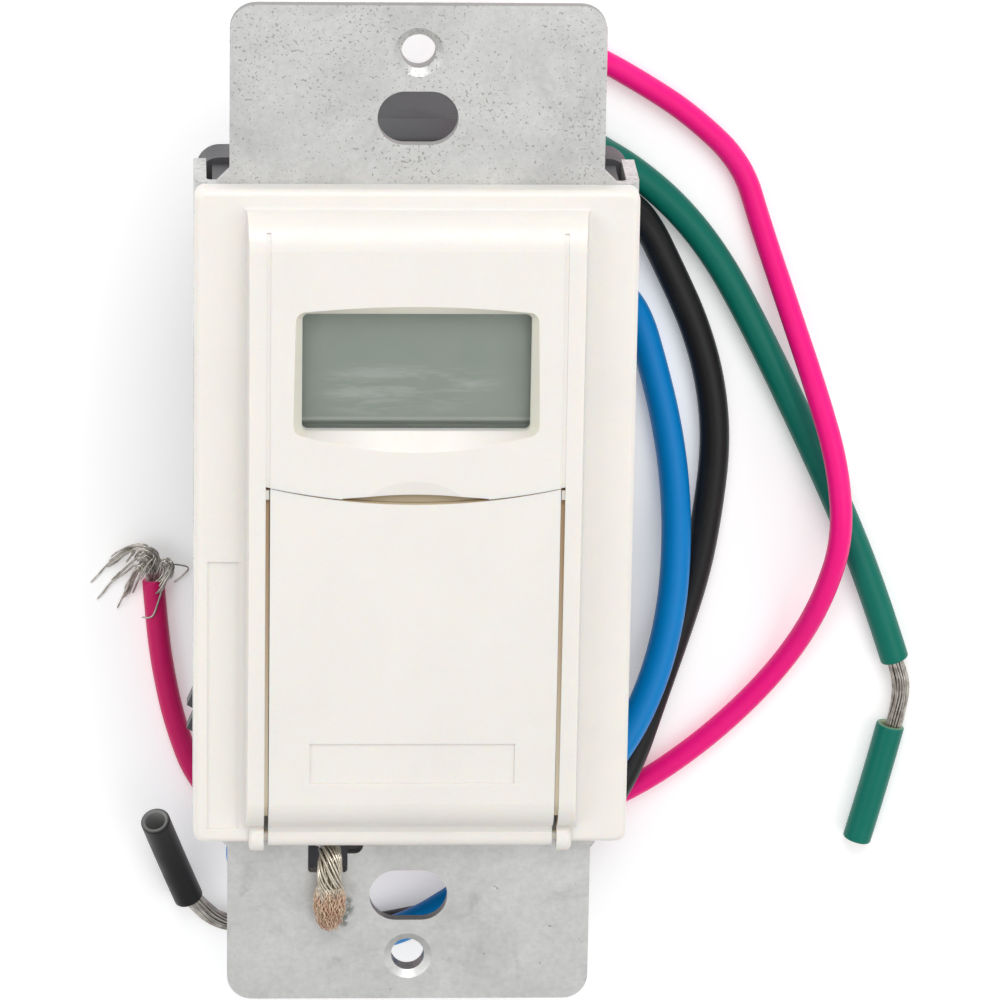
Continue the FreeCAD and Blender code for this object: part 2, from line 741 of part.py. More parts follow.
def connector_strips():
    top = seat_z - lens_thickness - display_gap - display_thickness
    offset = (display_height - strip_width) / 2
    strips = [centred_block(0, window_y + s * offset, display_width - 1, strip_width, control_board_top, top)
              for s in (1, -1)]
    return Part.makeCompound(strips)


def plunger_place():
    return control_board_top + switch_height + plunger_proud


def button(x, y, width, height):
    """A key cap with a flange that keeps it behind the panel, and a stem to its switch."""
    flange_top = panel_under_z - 0.1
    cap = rounded_slab(x, y, width, height, key_corner_radius, flange_top - 0.05, panel_z + button_proud)
    top_edges = [e for e in cap.Edges if e.BoundBox.ZMin > panel_z + button_proud - 0.01]
    cap = cap.makeChamfer(button_edge, top_edges)
    flange = rounded_slab(x, y, width + 2 * button_flange, height + 2 * button_flange,
                          key_corner_radius + button_flange, flange_top - button_flange_thickness, flange_top)
    stem = rod(x, y, stem_radius, plunger_place(), flange_top - 0.1)
    return joined([cap, flange, stem])


def reset_button():
    flange_top = panel_under_z - 0.1
    pin = rod(reset_x, on_off_y, reset_radius, plunger_place(), panel_z - reset_below_panel)
    flange = rod(reset_x, on_off_y, reset_radius + button_flange, flange_top - button_flange_thickness,
                 flange_top)
    return joined([pin, flange])


def button_centres():
    places = {"on_off": (on_off_x, on_off_y), "reset": (reset_x, on_off_y)}
    for name, x in key_places().items():
        places[name] = (x, key_row_y)
    return places


def switch_plunger(x, y):
    return rod(x, y, plunger_radius, control_board_top + plunger_seat, plunger_place())


def tactile_switches():
    bodies = []
    for x, y in button_centres().values():
        body = centred_block(x, y, switch_size, switch_size, control_board_top,
                             control_board_top + switch_height)
        well = rod(x, y, plunger_radius + pin_clearance, control_board_top + plunger_seat - button_travel,
                   control_board_top + switch_height + 1)
        bodies.append(body.cut(well))
    return Part.makeCompound(bodies)


def battery_z():
    return panel_z - tray_front - tray_cup_gap - battery_radius


def battery():
    """A short lithium cell lying across the device, with its nub on the right."""
    length = battery_length - battery_nub_length
    can = Part.makeCylinder(battery_radius, length, V(-battery_length / 2, tray_y, battery_z()), V(1, 0, 0))
    rims = [e for e in can.Edges if e.Closed and e.Length > battery_radius]
    can = can.makeChamfer(battery_rim, rims)
    nub = Part.makeCylinder(battery_nub_radius, battery_nub_length + 0.2,
                            V(battery_length / 2 - battery_nub_length - 0.2, tray_y, battery_z()),
                            V(1, 0, 0))
    return joined([can, nub])


def battery_tray():
    """The pull-out tray that cups the front half of the cell."""
    z = battery_z()
    cup = centred_block(0, tray_y, tray_length, tray_height, z, panel_z)
    cup = cup.cut(Part.makeCylinder(battery_radius + tray_cup_gap, battery_length + 2 * tray_end_gap,
                                    V(-battery_length / 2 - tray_end_gap, tray_y, z), V(1, 0, 0)))
    for side in (1, -1):
        x0, x1 = sorted((side * (battery_length / 2), side * tray_length))
        cup = cup.cut(block(x0, x1, tray_y - contact_window / 2, tray_y + contact_window / 2,
                            z - 1, panel_z - tray_front))
    notch_y = tray_y + tray_height / 2
    return cup.cut(rod(0, notch_y, tray_notch_radius, panel_z - 0.5, panel_z + 1))


def bay_bottom():
    return battery_z() - battery_radius - bay_under_gap


def battery_bay():
    """The open-topped box that takes the tray, standing under the panel."""
    inner_x = tray_length + 2 * tray_gap
    inner_y = tray_height + 2 * tray_gap
    low = bay_bottom() - bay_floor
    outer = centred_block(0, tray_y, inner_x + 2 * bay_wall, inner_y + 2 * bay_wall, low, panel_under_z)
    return outer.cut(centred_block(0, tray_y, inner_x, inner_y, bay_bottom(), panel_under_z + 1))


def battery_contacts():
    """Two leaf springs bowed towards the ends of the cell."""
    wall_x = tray_length / 2 + tray_gap
    touch_x = battery_length / 2 + contact_touch_gap
    reach, bow = contact_half_length, contact_bow_half
    z = battery_z()
    springs = []
    for side in (1, -1):
        def at(x, dz):
            return V(side * x, tray_y - contact_width / 2, z + dz)
        t = contact_thickness
        strip = closed_face([
            Part.makeLine(at(wall_x, -reach), at(wall_x, reach)),
            Part.makeLine(at(wall_x, reach), at(wall_x - t, reach)),
            Part.makeLine(at(wall_x - t, reach), at(wall_x - t, bow)),
            Part.Arc(at(wall_x - t, bow), at(touch_x, 0), at(wall_x - t, -bow)).toShape(),
            Part.makeLine(at(wall_x - t, -bow), at(wall_x - t, -reach)),
            Part.makeLine(at(wall_x - t, -reach), at(wall_x, -reach))])
        springs.append(strip.extrude(V(0, contact_width, 0)))
    return Part.makeCompound(springs)


def housing_sections(shrink):
    """The three stacked blocks of the housing, drawn in by the wall for its hollow."""
    front = centred_block(0, 0, housing_front_width - 2 * shrink, housing_front_length - 2 * shrink,
                          -housing_step - shrink - 1, shrink)
    middle = rounded_slab(0, 0, housing_middle_width - 2 * shrink, body_length - 2 * shrink,
                          housing_corner_radius - shrink / 2, -housing_shoulder + shrink,
                          -housing_step - shrink)
    back = rounded_slab(0, 0, housing_back_width - 2 * shrink, housing_back_length - 2 * shrink,
                        housing_corner_radius - shrink / 2, -housing_depth + shrink,
                        -housing_shoulder + shrink + 1)
    return front, middle, back


def housing_ridges():
    """Two pairs of small snap wedges on the sides of the housing, below the flanges."""
    wedges = []
    half = housing_middle_width / 2
    for side in (1, -1):
        for k in (0, 1):
            y = housing_ridge_y - k * housing_ridge_length
            face = polygon_face([
                V(side * (half - housing_wall / 3), y + housing_ridge_length, housing_ridge_z),
                V(side * half, y + housing_ridge_length, housing_ridge_z),
                V(side * (half + housing_ridge_reach), y + 0.5, housing_ridge_z),
                V(side * half, y, housing_ridge_z),
                V(side * (half - housing_wall / 3), y, housing_ridge_z)])
            wedges.append(face.extrude(V(0, 0, -housing_ridge_height)))
    return wedges


def end_panel():
    """A flat panel that stands out from the top end of the housing's back part."""
    end = housing_back_length / 2
    return block(-end_panel_half_width, end_panel_half_width, end - housing_wall, end + end_panel_reach,
                 -housing_depth + housing_edge_radius, end_panel_top)


def end_tongue():
    """A short tongue at the bottom end of the housing, under the notch for the bare strands."""
    end = -housing_front_length / 2
    return block(end_tongue_x - end_tongue_half_width, end_tongue_x + end_tongue_half_width,
                 end - end_tongue_reach, end + housing_wall / 2, end_tongue_top - housing_wall,
                 end_tongue_top)


def board_screw_places():
    return [(s * board_screw_x, y) for s in (1, -1) for y in (board_screw_top_y, board_screw_bottom_y)]


def rear_housing():
    front, middle, back = housing_sections(0)
    low_rim = [e for e in middle.Edges if e.BoundBox.ZMax < -housing_shoulder + 0.01]
    middle = middle.makeFillet(housing_edge_radius, low_rim)
    back_rim = [e for e in back.Edges if e.BoundBox.ZMax < -housing_depth + 0.01]
    back = back.makeFillet(housing_edge_radius, back_rim)
    body = joined([front, middle, back, end_panel(), end_tongue()] + housing_ridges())
    for hollow in housing_sections(housing_wall):
        body = body.cut(hollow)
    for x, y in case_screw_places():
        body = body.fuse(rod(x, y, case_post_radius, -housing_shoulder, -case_boss_length))
    for x, y in board_screw_places():
        body = body.fuse(rod(x, y, post_radius, shoulder_inner_z - 0.2, control_board_z))
    for sx in (1, -1):
        for sy in (1, -1):
            body = body.fuse(rod(sx * power_post_x, sy * power_post_y, power_post_radius,
                                 back_inner_z - 0.2, back_inner_z + power_board_lift))
    body = body.removeSplitter()
    for x, y in case_screw_places():
        body = body.cut(rod(x, y, case_screw_radius + running_gap, -housing_depth, 0))
        body = body.cut(rod(x, y, case_screw_head_radius + 0.1, -housing_depth,
                            -housing_shoulder + case_screw_head_height))
    for x, y in board_screw_places():
        body = body.cut(rod(x, y, board_screw_radius + running_gap,
                            control_board_z + board_thickness - board_screw_length - 0.4,
                            control_board_z + 1))
    for y in (black_exit_y, blue_exit_y):
        body = body.cut(rod(lead_exit_x, y, bushing_neck_radius + running_gap, -housing_depth,
                           shoulder_inner_z + housing_wall))
    body = body.cut(Part.makeCylinder(bushing_neck_radius + running_gap, 6 * housing_wall,
                                      V(red_exit_x, body_length / 2 - 3 * housing_wall, -red_exit_depth),
                                      V(0, 1, 0)))
    return body


def case_screws():
    screws = []
    head_z = -housing_shoulder + 0.05
    for x, y in case_screw_places():
        head = rod(x, y, case_screw_head_radius, head_z, -housing_shoulder + case_screw_head_height)
        slot = centred_block(x, y, 2 * case_screw_head_radius, 0.5, head_z - 1, head_z + 0.5)
        shank = rod(x, y, case_screw_radius, head_z + 0.6, 0.2)
        screws.append(joined([head.cut(slot), shank]))
    return Part.makeCompound(screws)


def board_screws():
    screws = []
    top = control_board_top
    for x, y in board_screw_places():
        head = rod(x, y, board_screw_head_radius, top, top + board_screw_head_height)
        shank = rod(x, y, board_screw_radius, top - board_screw_length, top + 0.1)
        slot = centred_block(x, y, 2 * board_screw_head_radius, 0.5, top + 0.6, top + 2)
        screws.append(joined([head, shank]).cut(slot))
    return Part.makeCompound(screws)


def control_board():
    half_x = housing_front_width / 2 - housing_wall - board_gap
    end_y = housing_front_length / 2 - housing_wall - board_gap
    board = block(-half_x, half_x, control_board_end, end_y, control_board_z, control_board_top)
    for x, y in case_screw_places():
        if y > 0:
            outer_x = math.copysign(half_x + 1, x)
            x0, x1 = sorted((x, outer_x))
            board = board.cut(rod(x, y, case_boss_radius + board_gap, control_board_z - 1,
                                  control_board_top + 1))
            board = board.cut(block(x0, x1, y - case_boss_radius - board_gap, end_y + 1,
                                    control_board_z - 1, control_board_top + 1))
    for x, y in board_screw_places():
        board = board.cut(rod(x, y, board_screw_radius + running_gap, control_board_z - 1,
                              control_board_top + 1))
    return board


def power_board():
    length = housing_back_length - 2 * housing_wall - 2 * board_gap
    return rounded_slab(0, 0, power_board_width, length, housing_corner_radius - housing_wall / 2,
                        power_board_z - board_thickness, power_board_z)


def on_power_board(size, centre):
    return centred_block(centre[0], centre[1], size[0], size[1], power_board_z, power_board_z + size[2])


def relay():
    case = on_power_board(relay_size, relay_centre)
    top = [e for e in case.Edges if e.BoundBox.ZMin > power_board_z + relay_size[2] - 0.01]
    return case.makeChamfer(0.5, top)


def film_capacitor():
    x = -power_board_width / 2 + film_capacitor_edge + film_capacitor_size[0] / 2
    case = on_power_board(film_capacitor_size, (x, film_capacitor_y))
    upper = [e for e in case.Edges if e.BoundBox.ZMax > power_board_z + 1]
    return case.makeFillet(0.8, upper)


def electrolytic_capacitors():
    cans = []
    x = -power_board_width / 2 + electrolytic_edge + electrolytic_radius
    for y in electrolytic_ys:
        can = rod(x, y, electrolytic_radius, power_board_z, power_board_z + electrolytic_height)
        top = [e for e in can.Edges if e.BoundBox.ZMin > power_board_z + electrolytic_height - 0.01]
        can = can.makeChamfer(electrolytic_rim, top)
        groove = rod(x, y, electrolytic_radius + 1, power_board_z + 1.2, power_board_z + 1.9)
        groove = groove.cut(rod(x, y, electrolytic_radius - electrolytic_base_lip, power_board_z + 1,
                                power_board_z + 2))
        cans.append(can.cut(groove))
    return Part.makeCompound(cans)


def varistor():
    x, y = varistor_centre
    z = power_board_z + varistor_stand_off + varistor_radius
    disc = Part.makeCylinder(varistor_radius, varistor_thickness, V(x - varistor_thickness / 2, y, z),
                             V(1, 0, 0))
    disc = disc.makeChamfer(varistor_rim, [e for e in disc.Edges if e.Closed])
    legs = [rod(x, y + s * varistor_radius * 0.55, 0.4, power_board_z, z - varistor_radius * 0.6)
            for s in (1, -1)]
    return joined([disc] + legs)


def bridge_rectifier():
    return on_power_board(bridge_size, (tail_inner_x - bridge_to_tail, bridge_y))


def board_header():
    width = header_pin_count * header_pitch
    body = centred_block(0, header_y, width, header_pitch, power_board_z,
                         power_board_z + header_body_height)
    shapes = [body]
    for k in range(header_pin_count):
        x = (k - (header_pin_count - 1) / 2) * header_pitch
        shapes.append(centred_block(x, header_y, header_pin_size, header_pin_size,
                                    power_board_z + header_body_height - 0.2, control_board_z))
    return joined(shapes)


def microcontroller():
    return centred_block(0, microcontroller_y, microcontroller_size, microcontroller_size,
                         control_board_z - microcontroller_height, control_board_z)


def crystal():
    return Part.makeCylinder(crystal_radius, crystal_length,
                             V(crystal_x, microcontroller_y - crystal_length / 2,
                               control_board_z - crystal_radius), V(0, 1, 0))


def bushing(start, axis):
    """A stepped bushing: flange outside the wall, neck through it."""
    start = V(*start)
    axis = V(*axis)
    flange = Part.makeCylinder(bushing_flange_radius, bushing_flange, start, axis)
    neck = Part.makeCylinder(bushing_neck_radius, housing_wall, start - axis * housing_wall, axis)
    outer = [e for e in flange.Edges if e.Closed and (e.CenterOfMass - start).Length > bushing_flange * 0.9]
    flange = flange.makeChamfer(bushing_rim, outer)
    return joined([neck, flange])


def lead_bushings():
    shoulder = -housing_shoulder
    return Part.makeCompound([
        bushing((lead_exit_x, black_exit_y, shoulder), (0, 0, -1)),
        bushing((lead_exit_x, blue_exit_y, shoulder), (0, 0, -1)),
        bushing((red_exit_x, body_length / 2, -red_exit_depth), (0, 1, 0))])


def bent_rod(points, radius, bend):
    """A rod with right-angled bends of one radius, for the stiff tails inside."""
    corners = [V(*p) for p in points]
    edges = []
    start = corners[0]
    for before, corner, after in zip(corners, corners[1:], corners[2:]):
        u_in = (corner - before).normalize()
        u_out = (after - corner).normalize()
        arc_start = corner - u_in * bend
        arc_end = corner + u_out * bend
        middle = corner + (u_out - u_in) * (bend * (1 - math.sqrt(0.5)))
        edges.append(Part.makeLine(start, arc_start))
        edges.append(Part.Arc(arc_start, middle, arc_end).toShape())
        start = arc_end
    edges.append(Part.makeLine(start, corners[-1]))
    section = Part.Wire(Part.makeCircle(radius, corners[0], corners[1] - corners[0]))
    return Part.Wire(edges).makePipeShell([section], True, False)


def lead_tails():
    """Insulated tails inside the housing, from each bushing to its post on the power board."""
    post_top = power_board_z + solder_post_height
    high = shoulder_inner_z + tail_rise
    tails = []
    for y in (black_exit_y, blue_exit_y):
        tails.append(bent_rod([(lead_exit_x, y, shoulder_inner_z), (lead_exit_x, y, high),
                               (tail_inner_x, y, high), (tail_inner_x, y, post_top)],
                              tail_radius, tail_bend_radius))
    inner_y = body_length / 2 - housing_wall
    z = -red_exit_depth
    tails.append(bent_rod([(red_exit_x, inner_y, z), (red_exit_x, red_tail_y, z),
                           (red_exit_x, red_tail_y, post_top)], red_tail_radius, red_tail_bend_radius))
    return Part.makeCompound(tails)


def solder_posts():
    places = [(tail_inner_x, black_exit_y), (tail_inner_x, blue_exit_y), (red_exit_x, red_tail_y)]
    return Part.makeCompound([rod(x, y, solder_post_radius, power_board_z,
                                  power_board_z + solder_post_height) for x, y in places])


def ground_terminal():
    tongue = centred_block(terminal_x, terminal_y, terminal_tongue, terminal_tongue,
                           -terminal_thickness, 0)
    barrel = rod(terminal_x, terminal_y, terminal_barrel_radius,
                 -terminal_thickness - terminal_barrel_depth, -terminal_thickness + 0.1)
    return joined([tongue, barrel])


def on_table(points, radius):
    """Route points with their heights counted up from lying flat on the table."""
    return [(x, y, table_z + radius + lift) for x, y, lift in points]


def lead_paths():
    """The full route of each lead, from its bushing or terminal to the cut end."""
    main = main_lead_diameter / 2
    terminal_end = -terminal_thickness - terminal_barrel_depth
    starts = {
        "black": (V(lead_exit_x, black_exit_y, lead_exit_z), V(0, 0, -1), black_route, main),
        "blue": (V(lead_exit_x, blue_exit_y, lead_exit_z), V(0, 0, -1), blue_route, main),
        "red": (V(red_exit_x, body_length / 2 + bushing_flange, -red_exit_depth), V(0, 1, 0), red_route,
                control_lead_diameter / 2),
        "green": (V(terminal_x, terminal_y, terminal_end), V(0, 0, -1), green_route,
                  ground_lead_diameter / 2)}
    return {name: [tuple(start), tuple(start + axis * exit_run)] + on_table(route, radius)
            for name, (start, axis, route, radius) in starts.items()}


def end_of(route):
    """Where a route stops, and which way it points there."""
    end, before = V(*route[-1]), V(*route[-2])
    return end, (end - before).normalize()


def sleeved_strands(route, middle, sleeve, name):
    """Bare strands from the end of a lead into its loose sleeve."""
    end, out = end_of(route)
    mouth, further = V(*sleeve[0]), V(*sleeve[1])
    along = (further - mouth).normalize()
    points = [end, end + out * strand_run] + [V(x, y, end.z) for x, y in middle]
    points += [mouth - along * strand_lead_in, mouth + along * strand_run]
    return tube([tuple(p) for p in points], strand_bundle_radius, name)


def front_strands(route):
    """Strands that come up through the notch in the ear and bend forward over its face."""
    end, out = end_of(route)
    x = lead_notch_x + 0.1
    over = yoke_thickness + front_bundle_gap + front_bundle_radius
    points = [end, end + out * front_bundle_run, V(x, front_bundle_y, over - front_bundle_bend),
              V(x, front_bundle_y - front_bundle_bend, over),
              V(x - 0.05, front_bundle_y - front_bundle_crest, over - 0.04),
              V(x + 0.1, front_bundle_tip_y, over - 0.1)]
    return tube([tuple(p) for p in points], front_bundle_radius, "blue strands")


def sleeve(points, radius, name):
    """A loose sleeve of insulation pushed along the bare strands."""
    return tube(points, radius, name).cut(tube(points, radius - sleeve_wall, name + " bore"))


def frayed_strands(route):
    """Loose strands that fan out over the table from a short bare stub."""
    end, out = end_of(route)
    level = table_z + frayed_strand_radius
    stub = Part.makeCylinder(frayed_stub_radius, frayed_stub_length, end, out)
    shapes = [stub]
    heading = math.atan2(out.y, out.x)
    side = V(-out.y, out.x, 0)
    for k in range(frayed_strand_count):
        share = k / (frayed_strand_count - 1)
        spread = math.radians(frayed_right_angle + share * (frayed_left_angle - frayed_right_angle))
        reach = frayed_strand_reach * (0.9 + 0.1 * math.cos(5 * share * math.pi))
        start = end + out * frayed_stub_length * 0.5 + side * (share - 0.5) * frayed_stub_radius
        knee = start + out * frayed_stub_length
        knee.z = level + 0.35
        middle_heading = heading + 0.55 * spread
        middle = knee + V(math.cos(middle_heading), math.sin(middle_heading), 0) * reach * 0.4
        middle.z = level + 0.05
        tip_heading = heading + 1.1 * spread + 0.2
        tip = middle + V(math.cos(tip_heading), math.sin(tip_heading), 0) * reach * 0.42
        tip.z = level
        points = [tuple(p) for p in (start, knee, middle, tip)]
        shapes.append(tube(points, frayed_strand_radius, "frayed strand"))
    return joined(shapes)


save("mounting_yoke", mounting_yoke())
save("front_bezel", front_bezel())
save("door", door())
save("display_lens", display_lens())
save("display_glass", display_glass())
save("connector_strips", connector_strips())
save("on_off_button", button(on_off_x, on_off_y, on_off_width, on_off_height))
for key, key_x in key_places().items():
    save(key + "_button", button(key_x, key_row_y, key_width, key_height))
save("reset_button", reset_button())
for key, (plunger_x, plunger_y) in button_centres().items():
    save(key + "_switch_plunger", switch_plunger(plunger_x, plunger_y))
save("tactile_switches", tactile_switches())
save("battery", battery())
save("battery_tray", battery_tray())
save("battery_bay", battery_bay())
save("battery_contacts", battery_contacts())
save("rear_housing", rear_housing())
save("case_screws", case_screws())
save("board_screws", board_screws())
save("control_board", control_board())
save("power_board", power_board())
save("relay", relay())
save("film_capacitor", film_capacitor())
save("electrolytic_capacitors", electrolytic_capacitors())
save("varistor", varistor())
save("bridge_rectifier", bridge_rectifier())
save("board_header", board_header())
save("microcontroller", microcontroller())
save("crystal", crystal())
save("lead_bushings", lead_bushings())
save("lead_tails", lead_tails())
save("solder_posts", solder_posts())
save("ground_terminal", ground_terminal())
paths = lead_paths()
black_sleeve = on_table(black_sleeve_route, main_lead_diameter / 2)
green_sleeve = on_table(green_sleeve_route, ground_lead_diameter / 2)
save("black_lead", tube(paths["black"], main_lead_diameter / 2, "black lead"))
save("blue_lead", tube(paths["blue"], main_lead_diameter / 2, "blue lead"))
save("red_lead", tube(paths["red"], control_lead_diameter / 2, "red lead"))
save("green_lead", tube(paths["green"], ground_lead_diameter / 2, "green lead"))
save("black_lead_strands", sleeved_strands(paths["black"], black_strands_route, black_sleeve,
                                           "black strands"))
save("green_lead_strands", sleeved_strands(paths["green"], [], green_sleeve, "green strands"))
save("blue_lead_strands", front_strands(paths["blue"]))
save("red_lead_strands", frayed_strands(paths["red"]))
save("black_lead_sleeve", sleeve(black_sleeve, main_lead_diameter / 2, "black sleeve"))
save("green_lead_sleeve", sleeve(green_sleeve, ground_lead_diameter / 2, "green sleeve"))
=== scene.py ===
# Looks of an in-wall electronic timer switch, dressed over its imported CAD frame.
import json
import math

import bpy
import numpy as np
from mathutils import Matrix, Vector


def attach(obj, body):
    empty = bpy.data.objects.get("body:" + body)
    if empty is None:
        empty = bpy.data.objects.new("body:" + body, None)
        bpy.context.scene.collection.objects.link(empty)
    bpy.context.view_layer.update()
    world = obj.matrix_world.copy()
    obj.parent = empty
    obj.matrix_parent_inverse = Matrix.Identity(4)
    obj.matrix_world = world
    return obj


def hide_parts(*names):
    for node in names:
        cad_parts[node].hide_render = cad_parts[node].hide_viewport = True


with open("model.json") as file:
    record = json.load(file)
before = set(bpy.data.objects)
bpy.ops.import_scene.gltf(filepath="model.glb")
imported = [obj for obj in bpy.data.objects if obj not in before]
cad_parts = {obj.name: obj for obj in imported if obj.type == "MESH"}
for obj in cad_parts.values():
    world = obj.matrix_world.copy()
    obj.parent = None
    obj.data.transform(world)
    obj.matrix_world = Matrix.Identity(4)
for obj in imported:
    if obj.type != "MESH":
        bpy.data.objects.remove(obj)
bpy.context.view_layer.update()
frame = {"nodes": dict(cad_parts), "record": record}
cadNodes = frame["nodes"]
tableZ = -0.032  # the back of the housing lies on the table
mm = 0.001
print("frame loaded with", len(cadNodes), "nodes")


# Node trees: small helpers, then the effects that several materials share
def addNode(tree, kind, inputs=None, **settings):
    node = tree.nodes.new("ShaderNode" + kind)
    for key, value in settings.items():
        setattr(node, key, value)
    for key, value in (inputs or {}).items():
        if isinstance(value, bpy.types.NodeSocket):
            tree.links.new(value, node.inputs[key])
        else:
            node.inputs[key].default_value = value
    return node


def startGroup(name, takes, gives):
    tree = bpy.data.node_groups.new(name, "ShaderNodeTree")
    for label, kind, value in takes:
        socket = tree.interface.new_socket(name=label, in_out="INPUT", socket_type="NodeSocket" + kind)
        if value is not None:
            socket.default_value = value
    for label, kind in gives:
        tree.interface.new_socket(name=label, in_out="OUTPUT", socket_type="NodeSocket" + kind)
    return tree, tree.nodes.new("NodeGroupInput"), tree.nodes.new("NodeGroupOutput")


def maths(tree, operation, first, second=0.0):
    return addNode(tree, "Math", {0: first, 1: second}, operation=operation).outputs[0]


def ramp(tree, value, low, high, toLow=0.0, toHigh=1.0):
    node = addNode(tree, "MapRange", {"Value": value, "From Min": low, "From Max": high,
                                      "To Min": toLow, "To Max": toHigh}, interpolation_type="SMOOTHSTEP")
    return node.outputs[0]


def mixColour(tree, factor, *tones):
    first, second = [tone if isinstance(tone, bpy.types.NodeSocket) else (*tone, 1.0) for tone in tones]
    return addNode(tree, "Mix", {0: factor, 6: first, 7: second}, data_type="RGBA").outputs[2]


def scaled(tree, base, factor):
    return addNode(tree, "VectorMath", {0: base, "Scale": factor}, operation="SCALE").outputs[0]


def paint(tree, shader, base):
    tree.links.new(base, shader.inputs["Base Color"])


def roughen(tree, shader, mask, low, high):
    tree.links.new(ramp(tree, mask, 0.0, 1.0, low, high), shader.inputs["Roughness"])


def objectParts(tree):
    return addNode(tree, "SeparateXYZ", {0: addNode(tree, "TexCoord").outputs["Object"]})


# 1 in the middle of an ellipse in the XY plane, with a soft rim
def softEllipse(tree, parts, middle, reach):
    across = maths(tree, "DIVIDE", maths(tree, "SUBTRACT", parts.outputs["X"], middle[0]), reach[0])
    along = maths(tree, "DIVIDE", maths(tree, "SUBTRACT", parts.outputs["Y"], middle[1]), reach[1])
    far = maths(tree, "ADD", maths(tree, "MULTIPLY", across, across), maths(tree, "MULTIPLY", along, along))
    return ramp(tree, far, 1.2, 0.2)


# 1 on a line where a value is near its middle, with soft sides
def edgeLine(tree, value, middle, width):
    off = maths(tree, "ABSOLUTE", maths(tree, "SUBTRACT", value, middle))
    return ramp(tree, off, width, width * 0.4)


# 1 inside a box of Object coordinates, mirrored across X, with soft sides
def insideBox(tree, parts, low, high, soft=0.0002):
    across = maths(tree, "ABSOLUTE", parts.outputs["X"])
    inside = None
    for value, least, most in ((across, low[0], high[0]), (parts.outputs["Y"], low[1], high[1]),
                               (parts.outputs["Z"], low[2], high[2])):
        rise, fall = ramp(tree, value, least - soft, least), ramp(tree, value, most + soft, most)
        span = maths(tree, "MULTIPLY", rise, fall)
        inside = span if inside is None else maths(tree, "MULTIPLY", inside, span)
    return inside


# The surface's own normal in parts, and 1 where it stands upright: both in Object coordinates
def upright(tree, low=0.25, high=0.6):
    facing = addNode(tree, "SeparateXYZ", {0: addNode(tree, "TexCoord").outputs["Normal"]})
    return facing, ramp(tree, maths(tree, "ABSOLUTE", facing.outputs["Z"]), high, low)


# Dark pits scattered over a surface: fine noise kept above a threshold that a coarse noise moves
def makePitsGroup():
    tree, source, result = startGroup("pits", [("Vector", "Vector", None), ("Scale", "Float", 900.0),
                                               ("Threshold", "Float", 0.66), ("Softness", "Float", 0.05)],
                                      [("Mask", "Float")])
    fine = addNode(tree, "TexNoise", {"Vector": source.outputs["Vector"], "Scale": source.outputs["Scale"],
                                      "Detail": 2.0, "Roughness": 0.6})
    coarse = addNode(tree, "TexNoise", {"Vector": source.outputs["Vector"], "Scale": 130.0, "Detail": 3.0})
    lift = maths(tree, "MULTIPLY", maths(tree, "SUBTRACT", coarse.outputs["Fac"], 0.5), 0.22)
    level = maths(tree, "ADD", fine.outputs["Fac"], lift)
    top = maths(tree, "ADD", source.outputs["Threshold"], source.outputs["Softness"])
    tree.links.new(ramp(tree, level, source.outputs["Threshold"], top), result.inputs["Mask"])
    return tree


# Soft smudges: one slow distorted noise, spread between two levels
def makeSmudgeGroup():
    tree, source, result = startGroup("smudge", [("Vector", "Vector", None), ("Scale", "Float", 60.0),
                                                 ("Low", "Float", 0.45), ("High", "Float", 0.7)],
                                      [("Mask", "Float")])
    wide = addNode(tree, "TexNoise", {"Vector": source.outputs["Vector"], "Scale": source.outputs["Scale"],
                                      "Detail": 4.0, "Roughness": 0.65, "Distortion": 0.4})
    tree.links.new(ramp(tree, wide.outputs["Fac"], source.outputs["Low"], source.outputs["High"]),
                   result.inputs["Mask"])
    return tree


# Moulded or drawn skin: a fine grain as height, and the same grain as a slight shade
def makeGrainGroup():
    tree, source, result = startGroup("grain", [("Vector", "Vector", None), ("Scale", "Float", 2500.0),
                                                ("Shade", "Float", 0.04)],
                                      [("Height", "Float"), ("Shade", "Float")])
    grain = addNode(tree, "TexNoise", {"Vector": source.outputs["Vector"], "Scale": source.outputs["Scale"],
                                       "Detail": 3.0, "Roughness": 0.55})
    tree.links.new(grain.outputs["Fac"], result.inputs["Height"])
    swing = maths(tree, "MULTIPLY", maths(tree, "SUBTRACT", grain.outputs["Fac"], 0.5),
                  source.outputs["Shade"])
    tree.links.new(maths(tree, "ADD", swing, 1.0), result.inputs["Shade"])
    return tree


groups = {"pits": makePitsGroup(), "smudge": makeSmudgeGroup(), "grain": makeGrainGroup()}


def placeGroup(tree, name, inputs):
    return addNode(tree, "Group", inputs, node_tree=groups[name])


def startMaterial(name, **sockets):
    material = bpy.data.materials.new(name)
    material.use_nodes = True
    tree = material.node_tree
    shader = tree.nodes["Principled BSDF"]
    for key, value in sockets.items():
        shader.inputs[key.replace("_", " ")].default_value = value
    place = addNode(tree, "TexCoord").outputs["Object"]
    return material, tree, shader, place


def colour(red, green, blue):
    return (red, green, blue, 1.0)


def addBump(tree, shader, height, strength, distance):
    bump = addNode(tree, "Bump", {"Strength": strength, "Distance": distance, "Height": height})
    tree.links.new(bump.outputs[0], shader.inputs["Normal"])


